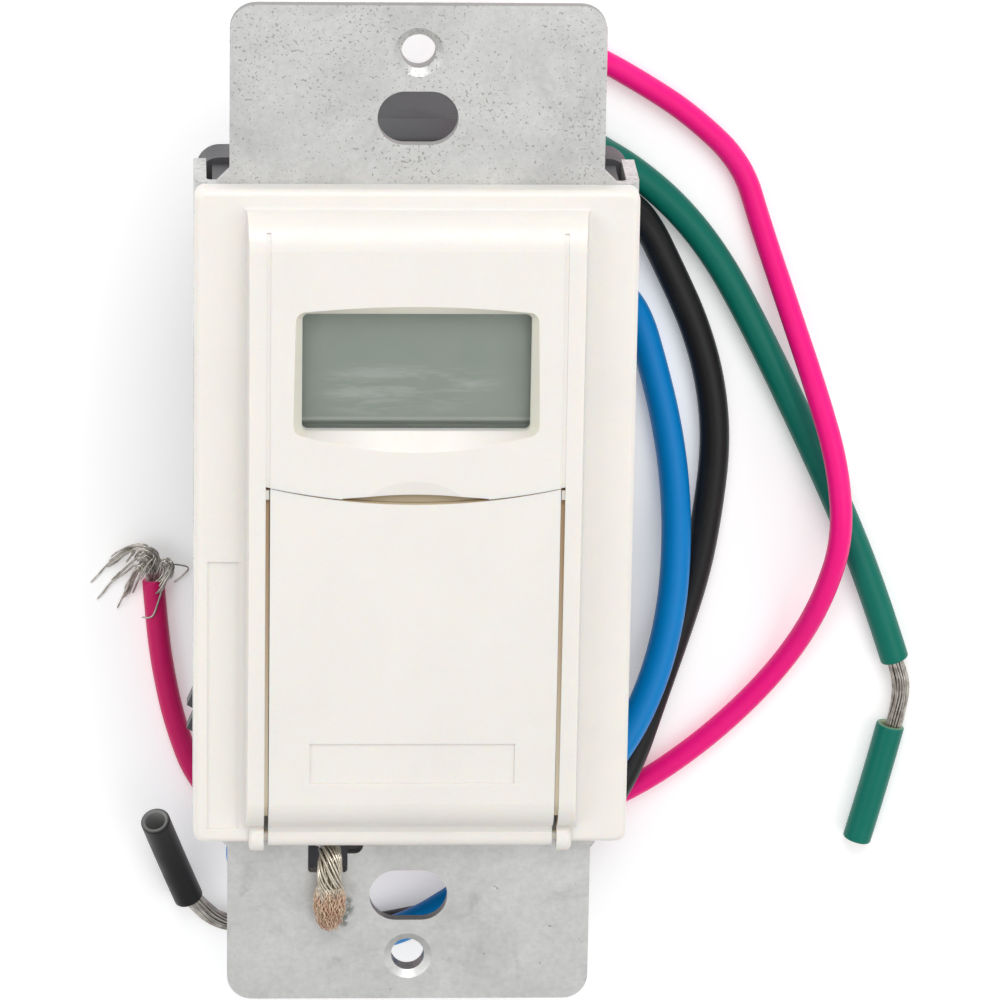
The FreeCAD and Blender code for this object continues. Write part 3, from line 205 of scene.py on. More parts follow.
# Smooth moulded plastic: a faint grain, a slow drift of shade and a rougher patch here and there
def mouldedPlastic(name, tint, shade=0.03, rough=(0.32, 0.46), grainScale=2600.0, bump=0.08, specular=0.45):
    material, tree, shader, place = startMaterial(name, Specular_IOR_Level=specular)
    grain = placeGroup(tree, "grain", {"Vector": place, "Scale": grainScale, "Shade": shade})
    drift = placeGroup(tree, "smudge", {"Vector": place, "Scale": 55.0, "Low": 0.35, "High": 0.75})
    soft = [channel * 0.965 for channel in tint]
    base = mixColour(tree, drift.outputs["Mask"], tint, soft)
    paint(tree, shader, scaled(tree, base, grain.outputs["Shade"]))
    roughen(tree, shader, drift.outputs["Mask"], *rough)
    addBump(tree, shader, grain.outputs["Height"], bump, 0.00004)
    return material


# Where the painted warm shade in the door's side gaps starts and ends to pale, along Y
gapShadeRun = (0.005, -0.026)

# Ivory moulding: the plastic above, slightly translucent, with painted warm shade on the walls in the door's gaps
# and seam, darker at the top end than at the hinge, and painted shade on the walls round the window
ivorySettings = {"tint": (0.83, 0.80, 0.755), "translucency": 0.35, "reach": (1.0, 0.5, 0.22), "depth": 0.0011,
                 "gapShadeTop": (0.68, 0.57, 0.41), "gapShadeFoot": (0.78, 0.71, 0.58),
                 "sideLow": (0.0142, -0.0345, 0.0030), "sideHigh": (0.01545, 0.0056, 0.0090),
                 "seamLow": (-0.001, 0.0012, 0.0034), "seamHigh": (0.0142, 0.0056, 0.0090),
                 "recessShade": (0.80, 0.785, 0.685), "recessShadeLow": (-0.001, 0.0102, 0.0020),
                 "recessShadeHigh": (0.0132, 0.0246, 0.0090), "recessShadeTurn": (0.12, 0.35)}


def ivoryPlastic():
    settings = ivorySettings
    material = mouldedPlastic("ivoryPlastic", settings["tint"])
    tree = material.node_tree
    shader = tree.nodes["Principled BSDF"]
    shader.inputs["Subsurface Weight"].default_value = settings["translucency"]
    shader.inputs["Subsurface Radius"].default_value = settings["reach"]
    shader.inputs["Subsurface Scale"].default_value = settings["depth"]
    plain = shader.inputs["Base Color"].links[0].from_socket
    parts = objectParts(tree)
    facing, walls = upright(tree)
    # Painted warm shade on the upright walls in the door's side gaps and seam, darker towards the top end
    along = ramp(tree, parts.outputs["Y"], *gapShadeRun)
    gapShadeTone = mixColour(tree, along, settings["gapShadeTop"], settings["gapShadeFoot"])
    gapShadeMask = maths(tree, "MAXIMUM", insideBox(tree, parts, settings["sideLow"], settings["sideHigh"]),
                insideBox(tree, parts, settings["seamLow"], settings["seamHigh"]))
    gapShadeMask = maths(tree, "MULTIPLY", gapShadeMask, walls)
    base = mixColour(tree, gapShadeMask, plain, gapShadeTone)
    # Painted shade, a dull yellowish darkening, on the walls round the window that face sideways or down
    turned = maths(tree, "MAXIMUM", maths(tree, "ABSOLUTE", facing.outputs["X"]),
                   maths(tree, "MULTIPLY", facing.outputs["Y"], -1.0))
    recessShadeMask = maths(tree, "MULTIPLY", insideBox(tree, parts, settings["recessShadeLow"], settings["recessShadeHigh"]),
                       ramp(tree, turned, *settings["recessShadeTurn"]))
    base = mixColour(tree, recessShadeMask, base, settings["recessShade"])
    paint(tree, shader, base)
    return material


# Dark grey housing, with painted light on the top of the end panel under the upper ear and painted shade on its
# walls
greySettings = {"tint": (0.105, 0.102, 0.108), "wall": (0.042, 0.042, 0.046), "panel": (0.29, 0.30, 0.31),
                "low": (-0.001, 0.0350, -0.0330), "high": (0.0102, 0.0420, -0.0162)}


def greyPlastic():
    settings = greySettings
    material = mouldedPlastic("greyPlastic", settings["tint"], shade=0.12, rough=(0.45, 0.6), specular=0.24)
    tree = material.node_tree
    shader = tree.nodes["Principled BSDF"]
    plain = shader.inputs["Base Color"].links[0].from_socket
    parts = objectParts(tree)
    walls = upright(tree)[1]
    # Painted light on the end panel's top and painted shade on its upright walls, inside this box
    paintedPanelMask = insideBox(tree, parts, settings["low"], settings["high"], 0.001)
    base = mixColour(tree, paintedPanelMask, plain, mixColour(tree, walls, settings["panel"], settings["wall"]))
    paint(tree, shader, base)
    return material


# Zinc plating: pale grey spangle, dark pits on the upper ear, greasy smears near the lower notch, and the ears'
# upright cut edges darker, bare steel with painted shade added
platedSettings = {"pale": (0.72, 0.72, 0.705), "dark": (0.52, 0.52, 0.515), "pit": (0.24, 0.235, 0.22),
                  "edge": (0.30, 0.29, 0.285), "smear": (0.26, 0.25, 0.235), "stain": (0.17, 0.19, 0.165),
                  "pitStrength": 0.62, "smearStrength": 0.55, "stainStrength": 0.8,
                  "pitsOver": (-0.040, -0.010), "smearsUnder": (-0.034, -0.044), "earsFrom": (0.0360, 0.0364),
                  "stains": [((-0.00655, -0.0429), (0.0010, 0.0014)), ((-0.0067, -0.0444), (0.0006, 0.0009))]}


def platedSteel():
    settings = platedSettings
    material, tree, shader, place = startMaterial("zincPlate", Metallic=0.75)
    drift = placeGroup(tree, "smudge", {"Vector": place, "Scale": 90.0, "Low": 0.3, "High": 0.8})
    base = mixColour(tree, drift.outputs["Mask"], settings["pale"], settings["dark"])
    parts = addNode(tree, "SeparateXYZ", {0: place})
    height = parts.outputs["Y"]
    upper = ramp(tree, height, *settings["pitsOver"])
    pits = placeGroup(tree, "pits", {"Vector": place, "Scale": 3000.0, "Threshold": 0.60, "Softness": 0.07})
    fewer = placeGroup(tree, "pits", {"Vector": place, "Scale": 700.0, "Threshold": 0.72, "Softness": 0.05})
    many = maths(tree, "MULTIPLY", pits.outputs["Mask"], upper)
    rest = maths(tree, "MULTIPLY", fewer.outputs["Mask"], maths(tree, "SUBTRACT", 1.0, upper))
    pitted = maths(tree, "MAXIMUM", many, rest)
    pitShade = maths(tree, "MULTIPLY", pitted, settings["pitStrength"])
    base = mixColour(tree, pitShade, base, settings["pit"])
    grain = placeGroup(tree, "grain", {"Vector": place, "Scale": 1900.0, "Shade": 0.30})
    base = scaled(tree, base, grain.outputs["Shade"])
    smears = placeGroup(tree, "smudge", {"Vector": place, "Scale": 210.0, "Low": 0.56, "High": 0.8})
    lower = ramp(tree, height, *settings["smearsUnder"])
    smeared = maths(tree, "MULTIPLY", smears.outputs["Mask"], lower)
    smeared = maths(tree, "MULTIPLY", smeared, settings["smearStrength"])
    base = mixColour(tree, smeared, base, settings["smear"])
    ragged = placeGroup(tree, "smudge", {"Vector": place, "Scale": 1400.0, "Low": 0.40, "High": 0.56})
    for middle, reach in settings["stains"]:
        mark = maths(tree, "MULTIPLY", softEllipse(tree, parts, middle, reach), ragged.outputs["Mask"])
        mark = maths(tree, "MULTIPLY", mark, settings["stainStrength"])
        base = mixColour(tree, mark, base, settings["stain"])
    # Upright walls of the ears darker: bare cut steel, with painted shade on top of it
    walls = upright(tree)[1]
    ears = ramp(tree, maths(tree, "ABSOLUTE", parts.outputs["Y"]), *settings["earsFrom"])
    base = mixColour(tree, maths(tree, "MULTIPLY", walls, ears), base, settings["edge"])
    paint(tree, shader, base)
    roughen(tree, shader, drift.outputs["Mask"], 0.42, 0.58)
    relief = maths(tree, "SUBTRACT", drift.outputs["Mask"], pitted)
    addBump(tree, shader, relief, 0.25, 0.00006)
    return material


# Plain machine metal for springs, screws, cans and solder
def brightMetal(name, tint, rough=(0.22, 0.42)):
    material, tree, shader, place = startMaterial(name, Metallic=1.0)
    grain = placeGroup(tree, "grain", {"Vector": place, "Scale": 1800.0, "Shade": 0.18})
    paint(tree, shader, scaled(tree, tint, grain.outputs["Shade"]))
    tree.links.new(ramp(tree, grain.outputs["Height"], 0.3, 0.7, *rough), shader.inputs["Roughness"])
    addBump(tree, shader, grain.outputs["Height"], 0.12, 0.00003)
    return material


# Lead insulation: vinyl with faint scuffs and a slight orange-peel, with a painted highlight where it was cut and
# on a sleeve's rims and bore. A lead may turn to a second tint past a line across the object, which on the pink
# lead is painted shade.
def vinylSkin(name, tint, scuff, cutHighlight, rough=(0.36, 0.52), second=None, specular=0.22):
    material, tree, shader, place = startMaterial(name, Specular_IOR_Level=specular)
    marks = placeGroup(tree, "smudge", {"Vector": place, "Scale": 160.0, "Low": 0.5, "High": 0.78})
    grain = placeGroup(tree, "grain", {"Vector": place, "Scale": 900.0, "Shade": 0.06})
    base = mixColour(tree, maths(tree, "MULTIPLY", marks.outputs["Mask"], 0.5), tint, scuff)
    if second is not None:
        across = addNode(tree, "SeparateXYZ", {0: place}).outputs["X"]
        base = mixColour(tree, ramp(tree, across, second["from"], second["to"]), base, second["tint"])
    highlightMask = addNode(tree, "Attribute", attribute_name="cutFaceHighlight").outputs["Fac"]
    base = mixColour(tree, highlightMask, base, cutHighlight)
    paint(tree, shader, scaled(tree, base, grain.outputs["Shade"]))
    roughen(tree, shader, marks.outputs["Mask"], *rough)
    addBump(tree, shader, grain.outputs["Height"], 0.15, 0.00005)
    return material


# Tinned wire that turns to bare copper past a line across the object
def tinnedWire(name, bright=(0.80, 0.75, 0.64), dull=(0.46, 0.40, 0.32), copperFrom=None):
    material, tree, shader, place = startMaterial(name, Metallic=0.9)
    tone = placeGroup(tree, "smudge", {"Vector": place, "Scale": 700.0, "Low": 0.35, "High": 0.7})
    base = mixColour(tree, tone.outputs["Mask"], bright, dull)
    if copperFrom is not None:
        height = addNode(tree, "SeparateXYZ", {0: place}).outputs["Y"]
        fade = 0.0012
        uneven = maths(tree, "MULTIPLY", maths(tree, "SUBTRACT", tone.outputs["Mask"], 0.5), fade)
        bare = ramp(tree, maths(tree, "ADD", height, uneven), copperFrom, copperFrom - fade)
        copper = mixColour(tree, tone.outputs["Mask"], (0.84, 0.68, 0.50), (0.62, 0.38, 0.29))
        base = mixColour(tree, bare, base, copper)
    paint(tree, shader, base)
    roughen(tree, shader, tone.outputs["Mask"], 0.28, 0.5)
    return material


# Display: grey-green glass face with a slow drift of tone, a painted highlight line and a painted shadow line
# near its lower end, and wiped whitish smears, wide along X: noise stretched sideways inside a soft ellipse
screenSettings = {"tone": (0.365, 0.425, 0.372), "other": (0.425, 0.475, 0.405), "smear": (0.60, 0.635, 0.60),
                  "line": (0.62, 0.64, 0.60), "shadow": (0.13, 0.14, 0.12),
                  "smears": [((-0.0022, 0.0144), (0.0095, 0.0032), 0.75),
                             ((0.0047, 0.0151), (0.0042, 0.0018), 0.6)],
                  "lines": [("line", 0.01128, 0.00022, 0.75), ("shadow", 0.01082, 0.00026, 0.8)]}


def screenFace():
    settings = screenSettings
    material, tree, shader, place = startMaterial("screenGlass")
    drift = placeGroup(tree, "smudge", {"Vector": place, "Scale": 70.0, "Low": 0.25, "High": 0.8})
    base = mixColour(tree, drift.outputs["Mask"], settings["tone"], settings["other"])
    parts = addNode(tree, "SeparateXYZ", {0: place})
    stretched = addNode(tree, "Mapping", {"Vector": place, "Scale": (0.16, 1.0, 1.0)})
    streaks = placeGroup(tree, "smudge", {"Vector": stretched.outputs[0], "Scale": 900.0, "Low": 0.42,
                                          "High": 0.66})
    for middle, reach, strength in settings["smears"]:
        wiped = maths(tree, "MULTIPLY", softEllipse(tree, parts, middle, reach), streaks.outputs["Mask"])
        base = mixColour(tree, maths(tree, "MULTIPLY", wiped, strength), base, settings["smear"])
    # Painted highlight line and painted shadow line along the display's lower end
    for tone, middle, width, strength in settings["lines"]:
        drawn = maths(tree, "MULTIPLY", edgeLine(tree, parts.outputs["Y"], middle, width), strength)
        base = mixColour(tree, drawn, base, settings[tone])
    paint(tree, shader, base)
    roughen(tree, shader, drift.outputs["Mask"], 0.3, 0.4)
    return material


# Clear cover over the display, a little hazed in places
def clearLens():
    material, tree, shader, place = startMaterial("clearCover", Transmission_Weight=1.0, IOR=1.46,
                                                  Base_Color=colour(0.97, 0.985, 0.975))
    drift = placeGroup(tree, "smudge", {"Vector": place, "Scale": 120.0, "Low": 0.3, "High": 0.8})
    roughen(tree, shader, drift.outputs["Mask"], 0.02, 0.12)
    return material


# Circuit board: green mask over copper, seen as broad darker and lighter tracks
def boardFace():
    material, tree, shader, place = startMaterial("boardGreen")
    tracks = addNode(tree, "TexVoronoi", {"Vector": place, "Scale": 260.0}, distance="CHEBYCHEV")
    line = ramp(tree, tracks.outputs["Distance"], 0.30, 0.36)
    base = mixColour(tree, line, (0.02, 0.13, 0.05), (0.035, 0.20, 0.08))
    paint(tree, shader, base)
    roughen(tree, shader, line, 0.3, 0.42)
    addBump(tree, shader, line, 0.2, 0.00003)
    return material


# One finish for each material slot of the frame
finishes = {
    "plated_steel": platedSteel(),
    "ivory_plastic": ivoryPlastic(),
    "grey_plastic": greyPlastic(),
    "black_plastic": mouldedPlastic("blackPlastic", (0.022, 0.021, 0.022), shade=0.15, rough=(0.4, 0.6)),
    "yellow_plastic": mouldedPlastic("yellowPlastic", (0.70, 0.50, 0.06)),
    "blue_coating": mouldedPlastic("blueCoating", (0.02, 0.10, 0.38), rough=(0.25, 0.4)),
    "pink_rubber": mouldedPlastic("pinkRubber", (0.60, 0.26, 0.30), rough=(0.6, 0.75)),
    "board_green": boardFace(),
    "display_grey": screenFace(),
    "clear_lens": clearLens(),
    "spring_steel": brightMetal("springSteel", (0.62, 0.62, 0.63)),
    "battery_can": brightMetal("batteryCan", (0.68, 0.68, 0.67)),
    "solder": brightMetal("solderTin", (0.66, 0.65, 0.63), rough=(0.3, 0.5)),
    "tinned_copper": tinnedWire("tinnedWire", bright=(0.60, 0.57, 0.52), dull=(0.30, 0.27, 0.235)),
    "lead_black": vinylSkin("blackVinyl", (0.0145, 0.0145, 0.0155), (0.026, 0.026, 0.027), (0.36, 0.36, 0.35)),
    "lead_blue": vinylSkin("blueVinyl", (0.0, 0.23, 0.62), (0.0, 0.26, 0.66), (0.10, 0.30, 0.55)),
    # Pink lead: the darker second tint, from X -6 mm and full past -15 mm, is painted shade on its left-hand
    # stretch
    "lead_pink": vinylSkin("pinkVinyl", (0.97, 0.008, 0.24), (0.94, 0.018, 0.27), (0.80, 0.10, 0.28),
                           second={"tint": (0.60, 0.012, 0.125), "from": -0.006, "to": -0.015}),
    "lead_green": vinylSkin("greenVinyl", (0.002, 0.160, 0.116), (0.008, 0.19, 0.14), (0.42, 0.52, 0.34)),
}
brightWire = tinnedWire("brightWire")
copperTip = tinnedWire("copperTip", copperFrom=-0.0400)
print("materials made:", len(finishes))

slotOf = {entry["node"]: entry["material_slot"] for entry in frame["record"]["subparts"]}
for name, node in cadNodes.items():
    node.data.materials.clear()
    node.data.materials.append(finishes[slotOf[name]])


# Free leads: a NURBS line through given points, read point by point for the skins that follow it
def onTable(points, radius):
    return [(x * mm, y * mm, tableZ + (radius + lift) * mm) for x, y, lift in points]


def routeLine(name, points):
    data = bpy.data.curves.new(name, "CURVE")
    data.dimensions = "3D"
    spline = data.splines.new("NURBS")
    spline.points.add(len(points) - 1)
    spline.points.foreach_set("co", np.c_[np.array(points), np.ones(len(points))].ravel())
    spline.order_u = 3
    spline.use_endpoint_u = True
    spline.resolution_u = 16
    holder = bpy.data.objects.new(name, data)
    drawn = bpy.data.meshes.new_from_object(holder)
    line = np.empty(3 * len(drawn.vertices))
    drawn.vertices.foreach_get("co", line)
    bpy.data.meshes.remove(drawn)
    bpy.data.objects.remove(holder)
    bpy.data.curves.remove(data)
    line = line.reshape(-1, 3)
    return line[np.r_[True, np.linalg.norm(np.diff(line, axis=0), axis=1) > 1e-7]]


def unit(vectors):
    return vectors / np.linalg.norm(vectors, axis=-1, keepdims=True)


# Directions carried along lines without twist: each side is the last one with its part along the line taken out
def carryFrames(lines, firstSide=(0.0, 0.0, 1.0)):
    along = unit(np.gradient(lines, axis=-2))
    side = np.empty_like(lines)
    start = np.broadcast_to(np.array(firstSide, dtype=float), along[..., 0, :].shape)
    for step in range(lines.shape[-2]):
        ahead = along[..., step, :]
        start = unit(start - ahead * np.sum(start * ahead, axis=-1, keepdims=True))
        side[..., step, :] = start
    return side, np.cross(along, side)


# Places at given distances along a line, with the two directions across it: all read straight between samples
def placesAlong(line, side, up, distance):
    reach = np.r_[0.0, np.cumsum(np.linalg.norm(np.diff(line, axis=0), axis=1))]
    spots = [np.stack([np.interp(distance, reach, part[:, axis]) for axis in range(3)], axis=-1)
             for part in (line, side, up)]
    return spots[0], unit(spots[1]), unit(spots[2])


def lineLength(line):
    return float(np.sum(np.linalg.norm(np.diff(line, axis=0), axis=1)))


# Round skins, point(k, s, a) = centre(k, s) + radius(k, s) (cos a side + sin a up), one for each k.
# A pole closes each end, or the last ring joins the first where the profile is closed.
def roundSkins(name, centre, side, up, radius, around, closed=False, pale=None):
    wires, steps = centre.shape[:2]
    turn = np.arange(around) * 2 * np.pi / around
    across = np.cos(turn)[:, None] * side[:, :, None] + np.sin(turn)[:, None] * up[:, :, None]
    rings = (centre[:, :, None] + radius[:, :, None, None] * across).reshape(wires, -1, 3)
    poles = np.zeros((wires, 0, 3)) if closed else centre[:, [0, -1]]
    points = np.concatenate([rings, poles], axis=1)
    i, j = np.meshgrid(np.arange(steps if closed else steps - 1), np.arange(around), indexing="ij")
    k, ahead = (j + 1) % around, (i + 1) % steps
    quads = np.stack([i * around + j, i * around + k, ahead * around + k, ahead * around + j], axis=-1)
    shift = (np.arange(wires) * points.shape[1])[:, None, None]
    faces = (quads.reshape(1, -1, 4) + shift).reshape(-1, 4).tolist()
    if not closed:
        first, second = np.arange(around), (np.arange(around) + 1) % around
        base = (steps - 1) * around
        caps = np.r_[np.c_[np.full(around, steps * around), second, first],
                     np.c_[np.full(around, steps * around + 1), base + first, base + second]]
        faces += (caps[None] + shift).reshape(-1, 3).tolist()
    mesh = bpy.data.meshes.new(name)
    mesh.from_pydata(points.reshape(-1, 3).tolist(), [], faces)
    mesh.polygons.foreach_set("use_smooth", np.ones(len(mesh.polygons), dtype=bool))
    if pale is not None:
        marks = np.r_[np.repeat(pale, around), np.zeros(poles.shape[1]) + pale[-1]]
        shown = mesh.attributes.new("cutFaceHighlight", "FLOAT", "POINT")
        shown.data.foreach_set("value", np.tile(marks, wires))
    mesh.update()
    piece = bpy.data.objects.new(name, mesh)
    bpy.context.scene.collection.objects.link(piece)
    return piece


# Rings along the insulation, and the core's hole behind the cut: where it starts, its depth and its taper (m)
cutEnd = {"spacing": 0.0005, "mouth": 0.0002, "depth": 0.0016, "taper": 0.97}


# Insulation, cut square at its end: out along the lead, round over the cut's edge and back into the core's hole
def insulationSkin(name, line, radius, core, edge, around=40):
    side, up = carryFrames(line, (0.3, 1.0, 0.2))
    long = lineLength(line)
    bend = np.linspace(0.0, np.pi / 2, 6)
    body = np.linspace(0.0, long - edge, int(long / cutEnd["spacing"]))
    distance = np.r_[body, long - edge + edge * np.sin(bend)[1:], long, long - cutEnd["mouth"],
                     long - cutEnd["depth"]]
    reach = np.r_[np.full(len(body), radius), radius - edge + edge * np.cos(bend)[1:],
                  core, core * cutEnd["taper"], core * cutEnd["taper"]]
    # Pale marks the cut face and the core's hole, where a painted highlight goes
    pale = np.r_[np.zeros(len(body) + 3), np.ones(5)]
    spots = placesAlong(line, side, up, distance)
    return roundSkins(name, *[part[None] for part in spots], reach[None], around, pale=pale)


# Loose sleeve: outer skin, two rounded rims and the bore, as one closed profile carried along its line
def sleeveSkin(name, line, radius, wall, around=40):
    side, up = carryFrames(line, (0.3, 0.2, 1.0))
    long, rim, steps = lineLength(line), wall / 2, 40
    bend = np.linspace(-np.pi / 2, np.pi / 2, 9)[1:-1]
    middle = radius - rim
    body = np.linspace(rim, long - rim, steps)
    distance = np.r_[body, long - rim + rim * np.cos(bend)[::-1], body[::-1], rim - rim * np.cos(bend)]
    reach = np.r_[np.full(steps, radius), middle + rim * np.sin(bend)[::-1],
                  np.full(steps, radius - wall), middle + rim * np.sin(bend)]
    # Pale marks where the painted highlight goes: none on the skin, rising over the rims, full in the bore
    pale = np.r_[np.zeros(steps), np.linspace(0.0, 1.0, len(bend)), np.ones(steps),
                 np.linspace(1.0, 0.0, len(bend))]
    spots = placesAlong(line, side, up, distance)
    return roundSkins(name, *[part[None] for part in spots], reach[None], around, closed=True, pale=pale)


# All bundles: wires in each ring, turn of a ring (radians), waves along a wire, how far a wave moves it round
# the bundle, how soon the waves reach full size, thickness of a wire, and the taper of its last steps
bundleShape = {"rings": (1, 6, 12, 18), "steps": 90, "ringTurn": 0.3, "waves": (0.6, 1.8), "swayRound": 1.6,
               "waveRise": 3.0, "thickness": 1.02, "taper": (0.95, 0.8, 0.45)}


# Bundle of wires in rings round a line that twists with distance:
# centre(k, s) = line(s) + wide(s) packed(k) cos(angle(k) + lay s) side + high(s) packed(k) sin(...) up
def wireBundle(name, line, firstSide, wire, lay, wide, high, wander, seed, tipLoss):
    chance = np.random.default_rng(seed)
    counts, taper = bundleShape["rings"], bundleShape["taper"]
    packed = np.concatenate([np.full(count, 2.0 * ring * wire) for ring, count in enumerate(counts)])
    angle = np.concatenate([np.arange(count) * 2 * np.pi / count + bundleShape["ringTurn"] * ring
                            for ring, count in enumerate(counts)])
    wires, steps = len(packed), bundleShape["steps"]
    side, up = carryFrames(line, firstSide)
    long = lineLength(line)
    share = np.linspace(0.0, 1.0, steps)[None, :] * (1.0 - tipLoss * chance.random((wires, 1)))
    spots, sides, ups = placesAlong(line, side, up, share * long)
    wave = wander * wire * np.sin(2 * np.pi * (share * chance.uniform(*bundleShape["waves"], (wires, 1))
                                               + chance.random((wires, 1))))
    turned = (angle[:, None] + lay * share * long
              + wave / (packed[:, None] + 2 * wire) * bundleShape["swayRound"])
    out = packed[:, None] + wave * np.clip(share * bundleShape["waveRise"], 0.0, 1.0)
    wideHere = np.interp(share, np.linspace(0, 1, len(wide)), wide)
    highHere = np.interp(share, np.linspace(0, 1, len(high)), high)
    centre = spots + ((wideHere * out * np.cos(turned))[..., None] * sides
                      + (highHere * out * np.sin(turned))[..., None] * ups)
    wireSide, wireUp = carryFrames(centre, sides[0, 0])
    thick = np.full((wires, steps), wire * bundleShape["thickness"])
    thick[:, -len(taper):] *= np.array(taper)
    return roundSkins(name, centre, wireSide, wireUp, thick, around=8)


# Exit and second are where a lead leaves its bushing or terminal, and route is x, y and the height of the
# lead's underside above the table (mm)
leads = {
    "black": {"node": "black_lead", "radius": 1.6, "length": 0.1267, "slot": "lead_black",
              "exit": (17.9, 26.5, -16.1), "second": (17.9, 26.5, -19.9), "core": 0.95, "edge": 0.3,
              "route": [(19.0, 26.8, 6.1), (22.0, 25.7, 2.5), (25.3, 22.6, 0.3), (28.1, 16.9, 0.0),
                        (30.9, 10.9, 0.0), (32.8, 4.4, 0.0), (33.5, -2.4, 0.0), (32.9, -9.4, 0.0),
                        (31.9, -16.2, 0.0), (30.1, -22.8, 0.1), (27.5, -30.4, 1.2), (24.0, -39.2, 5.4),
                        (17.2, -48.2, 6.0), (10.2, -53.6, 3.6), (2.4, -57.0, 0.4), (-5.6, -58.6, 0.0),
                        (-12.4, -58.6, 0.0)]},
    "blue": {"node": "blue_lead", "radius": 1.6, "length": 0.1344, "slot": "lead_blue",
             "exit": (17.9, 17.0, -16.1), "second": (17.9, 17.0, -19.9), "core": 0.95, "edge": 0.3,
             "route": [(19.2, 16.7, 6.1), (22.1, 15.6, 2.5), (24.7, 12.3, 0.3), (26.5, 6.4, 0.0),
                       (28.2, -0.2, 0.1), (29.2, -6.8, 0.6), (29.4, -13.2, 2.4), (28.9, -20.2, 3.8),
                       (27.2, -27.4, 4.8), (24.1, -34.0, 6.4), (18.8, -40.2, 8.2), (13.0, -45.5, 9.2),
                       (7.0, -49.8, 10.4), (0.6, -53.2, 12.2), (-6.0, -54.0, 14.0), (-12.0, -51.4, 16.0),
                       (-16.0, -46.2, 17.8), (-17.55, -41.8, 19.4), (-16.6, -38.4, 21.4),
                       (-13.7, -37.0, 23.6), (-10.6, -36.8, 26.4)]},
    "red": {"node": "red_lead", "radius": 1.2, "length": 0.2044, "slot": "lead_pink",
            "exit": (7.0, 35.9, -11.05), "second": (7.0, 39.7, -11.05), "core": 0.7, "edge": 0.25,
            "route": [(7.1, 43.0, 17.8), (7.4, 45.0, 14.2), (8.3, 45.0, 9.8), (10.2, 44.0, 5.4),
                      (14.0, 42.6, 1.4), (19.2, 40.3, 0.0), (25.0, 37.0, 0.0), (30.0, 33.7, 0.0),
                      (35.5, 28.5, 0.0), (37.6, 21.8, 0.0), (40.6, 13.4, 1.6), (43.8, 4.4, 4.6),
                      (46.1, -3.2, 6.0), (46.9, -11.2, 6.0), (45.3, -18.6, 3.8), (42.7, -25.2, 1.0),
                      (38.4, -31.2, 0.0), (32.4, -37.0, 0.0), (25.2, -42.2, 0.0), (15.4, -46.4, 0.0),
                      (3.4, -48.6, 0.0), (-7.8, -48.4, 0.0), (-16.6, -46.2, 0.0), (-21.9, -41.0, 0.0),
                      (-24.2, -34.6, 0.0), (-25.5, -28.6, 0.0), (-26.2, -23.2, 0.0), (-26.6, -17.9, 0.0)]},
    "green": {"node": "green_lead", "radius": 1.55, "length": 0.094, "slot": "lead_green",
              "exit": (13.0, 38.0, -6.8), "second": (13.0, 38.0, -10.6), "core": 0.93, "edge": 0.3,
              "route": [(13.4, 37.6, 13.6), (16.2, 34.6, 7.0), (19.4, 31.0, 2.0), (23.8, 28.0, 0.1),
                        (28.7, 23.8, 0.0), (33.0, 18.4, 0.0), (36.8, 11.6, 0.0), (41.4, 2.4, 0.0),
                        (46.6, -8.6, 0.0), (50.8, -18.6, 0.0), (53.6, -27.0, 0.0)]},
}


def dress(piece, slot, node, finish=None):
    piece.data.materials.append(finish or finishes[slot])
    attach(piece, "case")
    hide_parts(node)
    return piece


ends, withPieces = {}, {}
for key, lead in leads.items():
    points = [tuple(value * mm for value in lead[spot]) for spot in ("exit", "second")]
    points += onTable(lead["route"], lead["radius"])
    lead["line"] = routeLine(key + "Route", points)
    lead["piece"] = dress(insulationSkin(key + "LeadInsulation", lead["line"], lead["radius"] * mm,
                                         lead["core"] * mm, lead["edge"] * mm), lead["slot"], lead["node"])
    ends[key] = (lead["line"][-1], unit(lead["line"][-1] - lead["line"][-2]))
    withPieces[key] = []
    print(key, "lead laid,", round(lineLength(lead["line"]) / mm, 1), "mm")

# Loose sleeves left on the wires
sleeves = {
    "black": {"node": "black_lead_sleeve", "radius": 1.6, "wall": 0.5,
              "route": [(-22.7, -54.5, 0.1), (-24.8, -48.9, 1.7), (-26.4, -43.2, 5.8)]},
    "green": {"node": "green_lead_sleeve", "radius": 1.55, "wall": 0.5,
              "route": [(53.4, -34.4, 0.0), (51.9, -41.0, 0.0), (50.1, -47.8, 0.0)]},
}
for key, sleeve in sleeves.items():
    line = routeLine(key + "SleeveRoute", onTable(sleeve["route"], sleeve["radius"]))
    piece = sleeveSkin(key + "LeadSleeve", line, sleeve["radius"] * mm, sleeve["wall"] * mm)
    withPieces[key].append(dress(piece, leads[key]["slot"], sleeve["node"]))

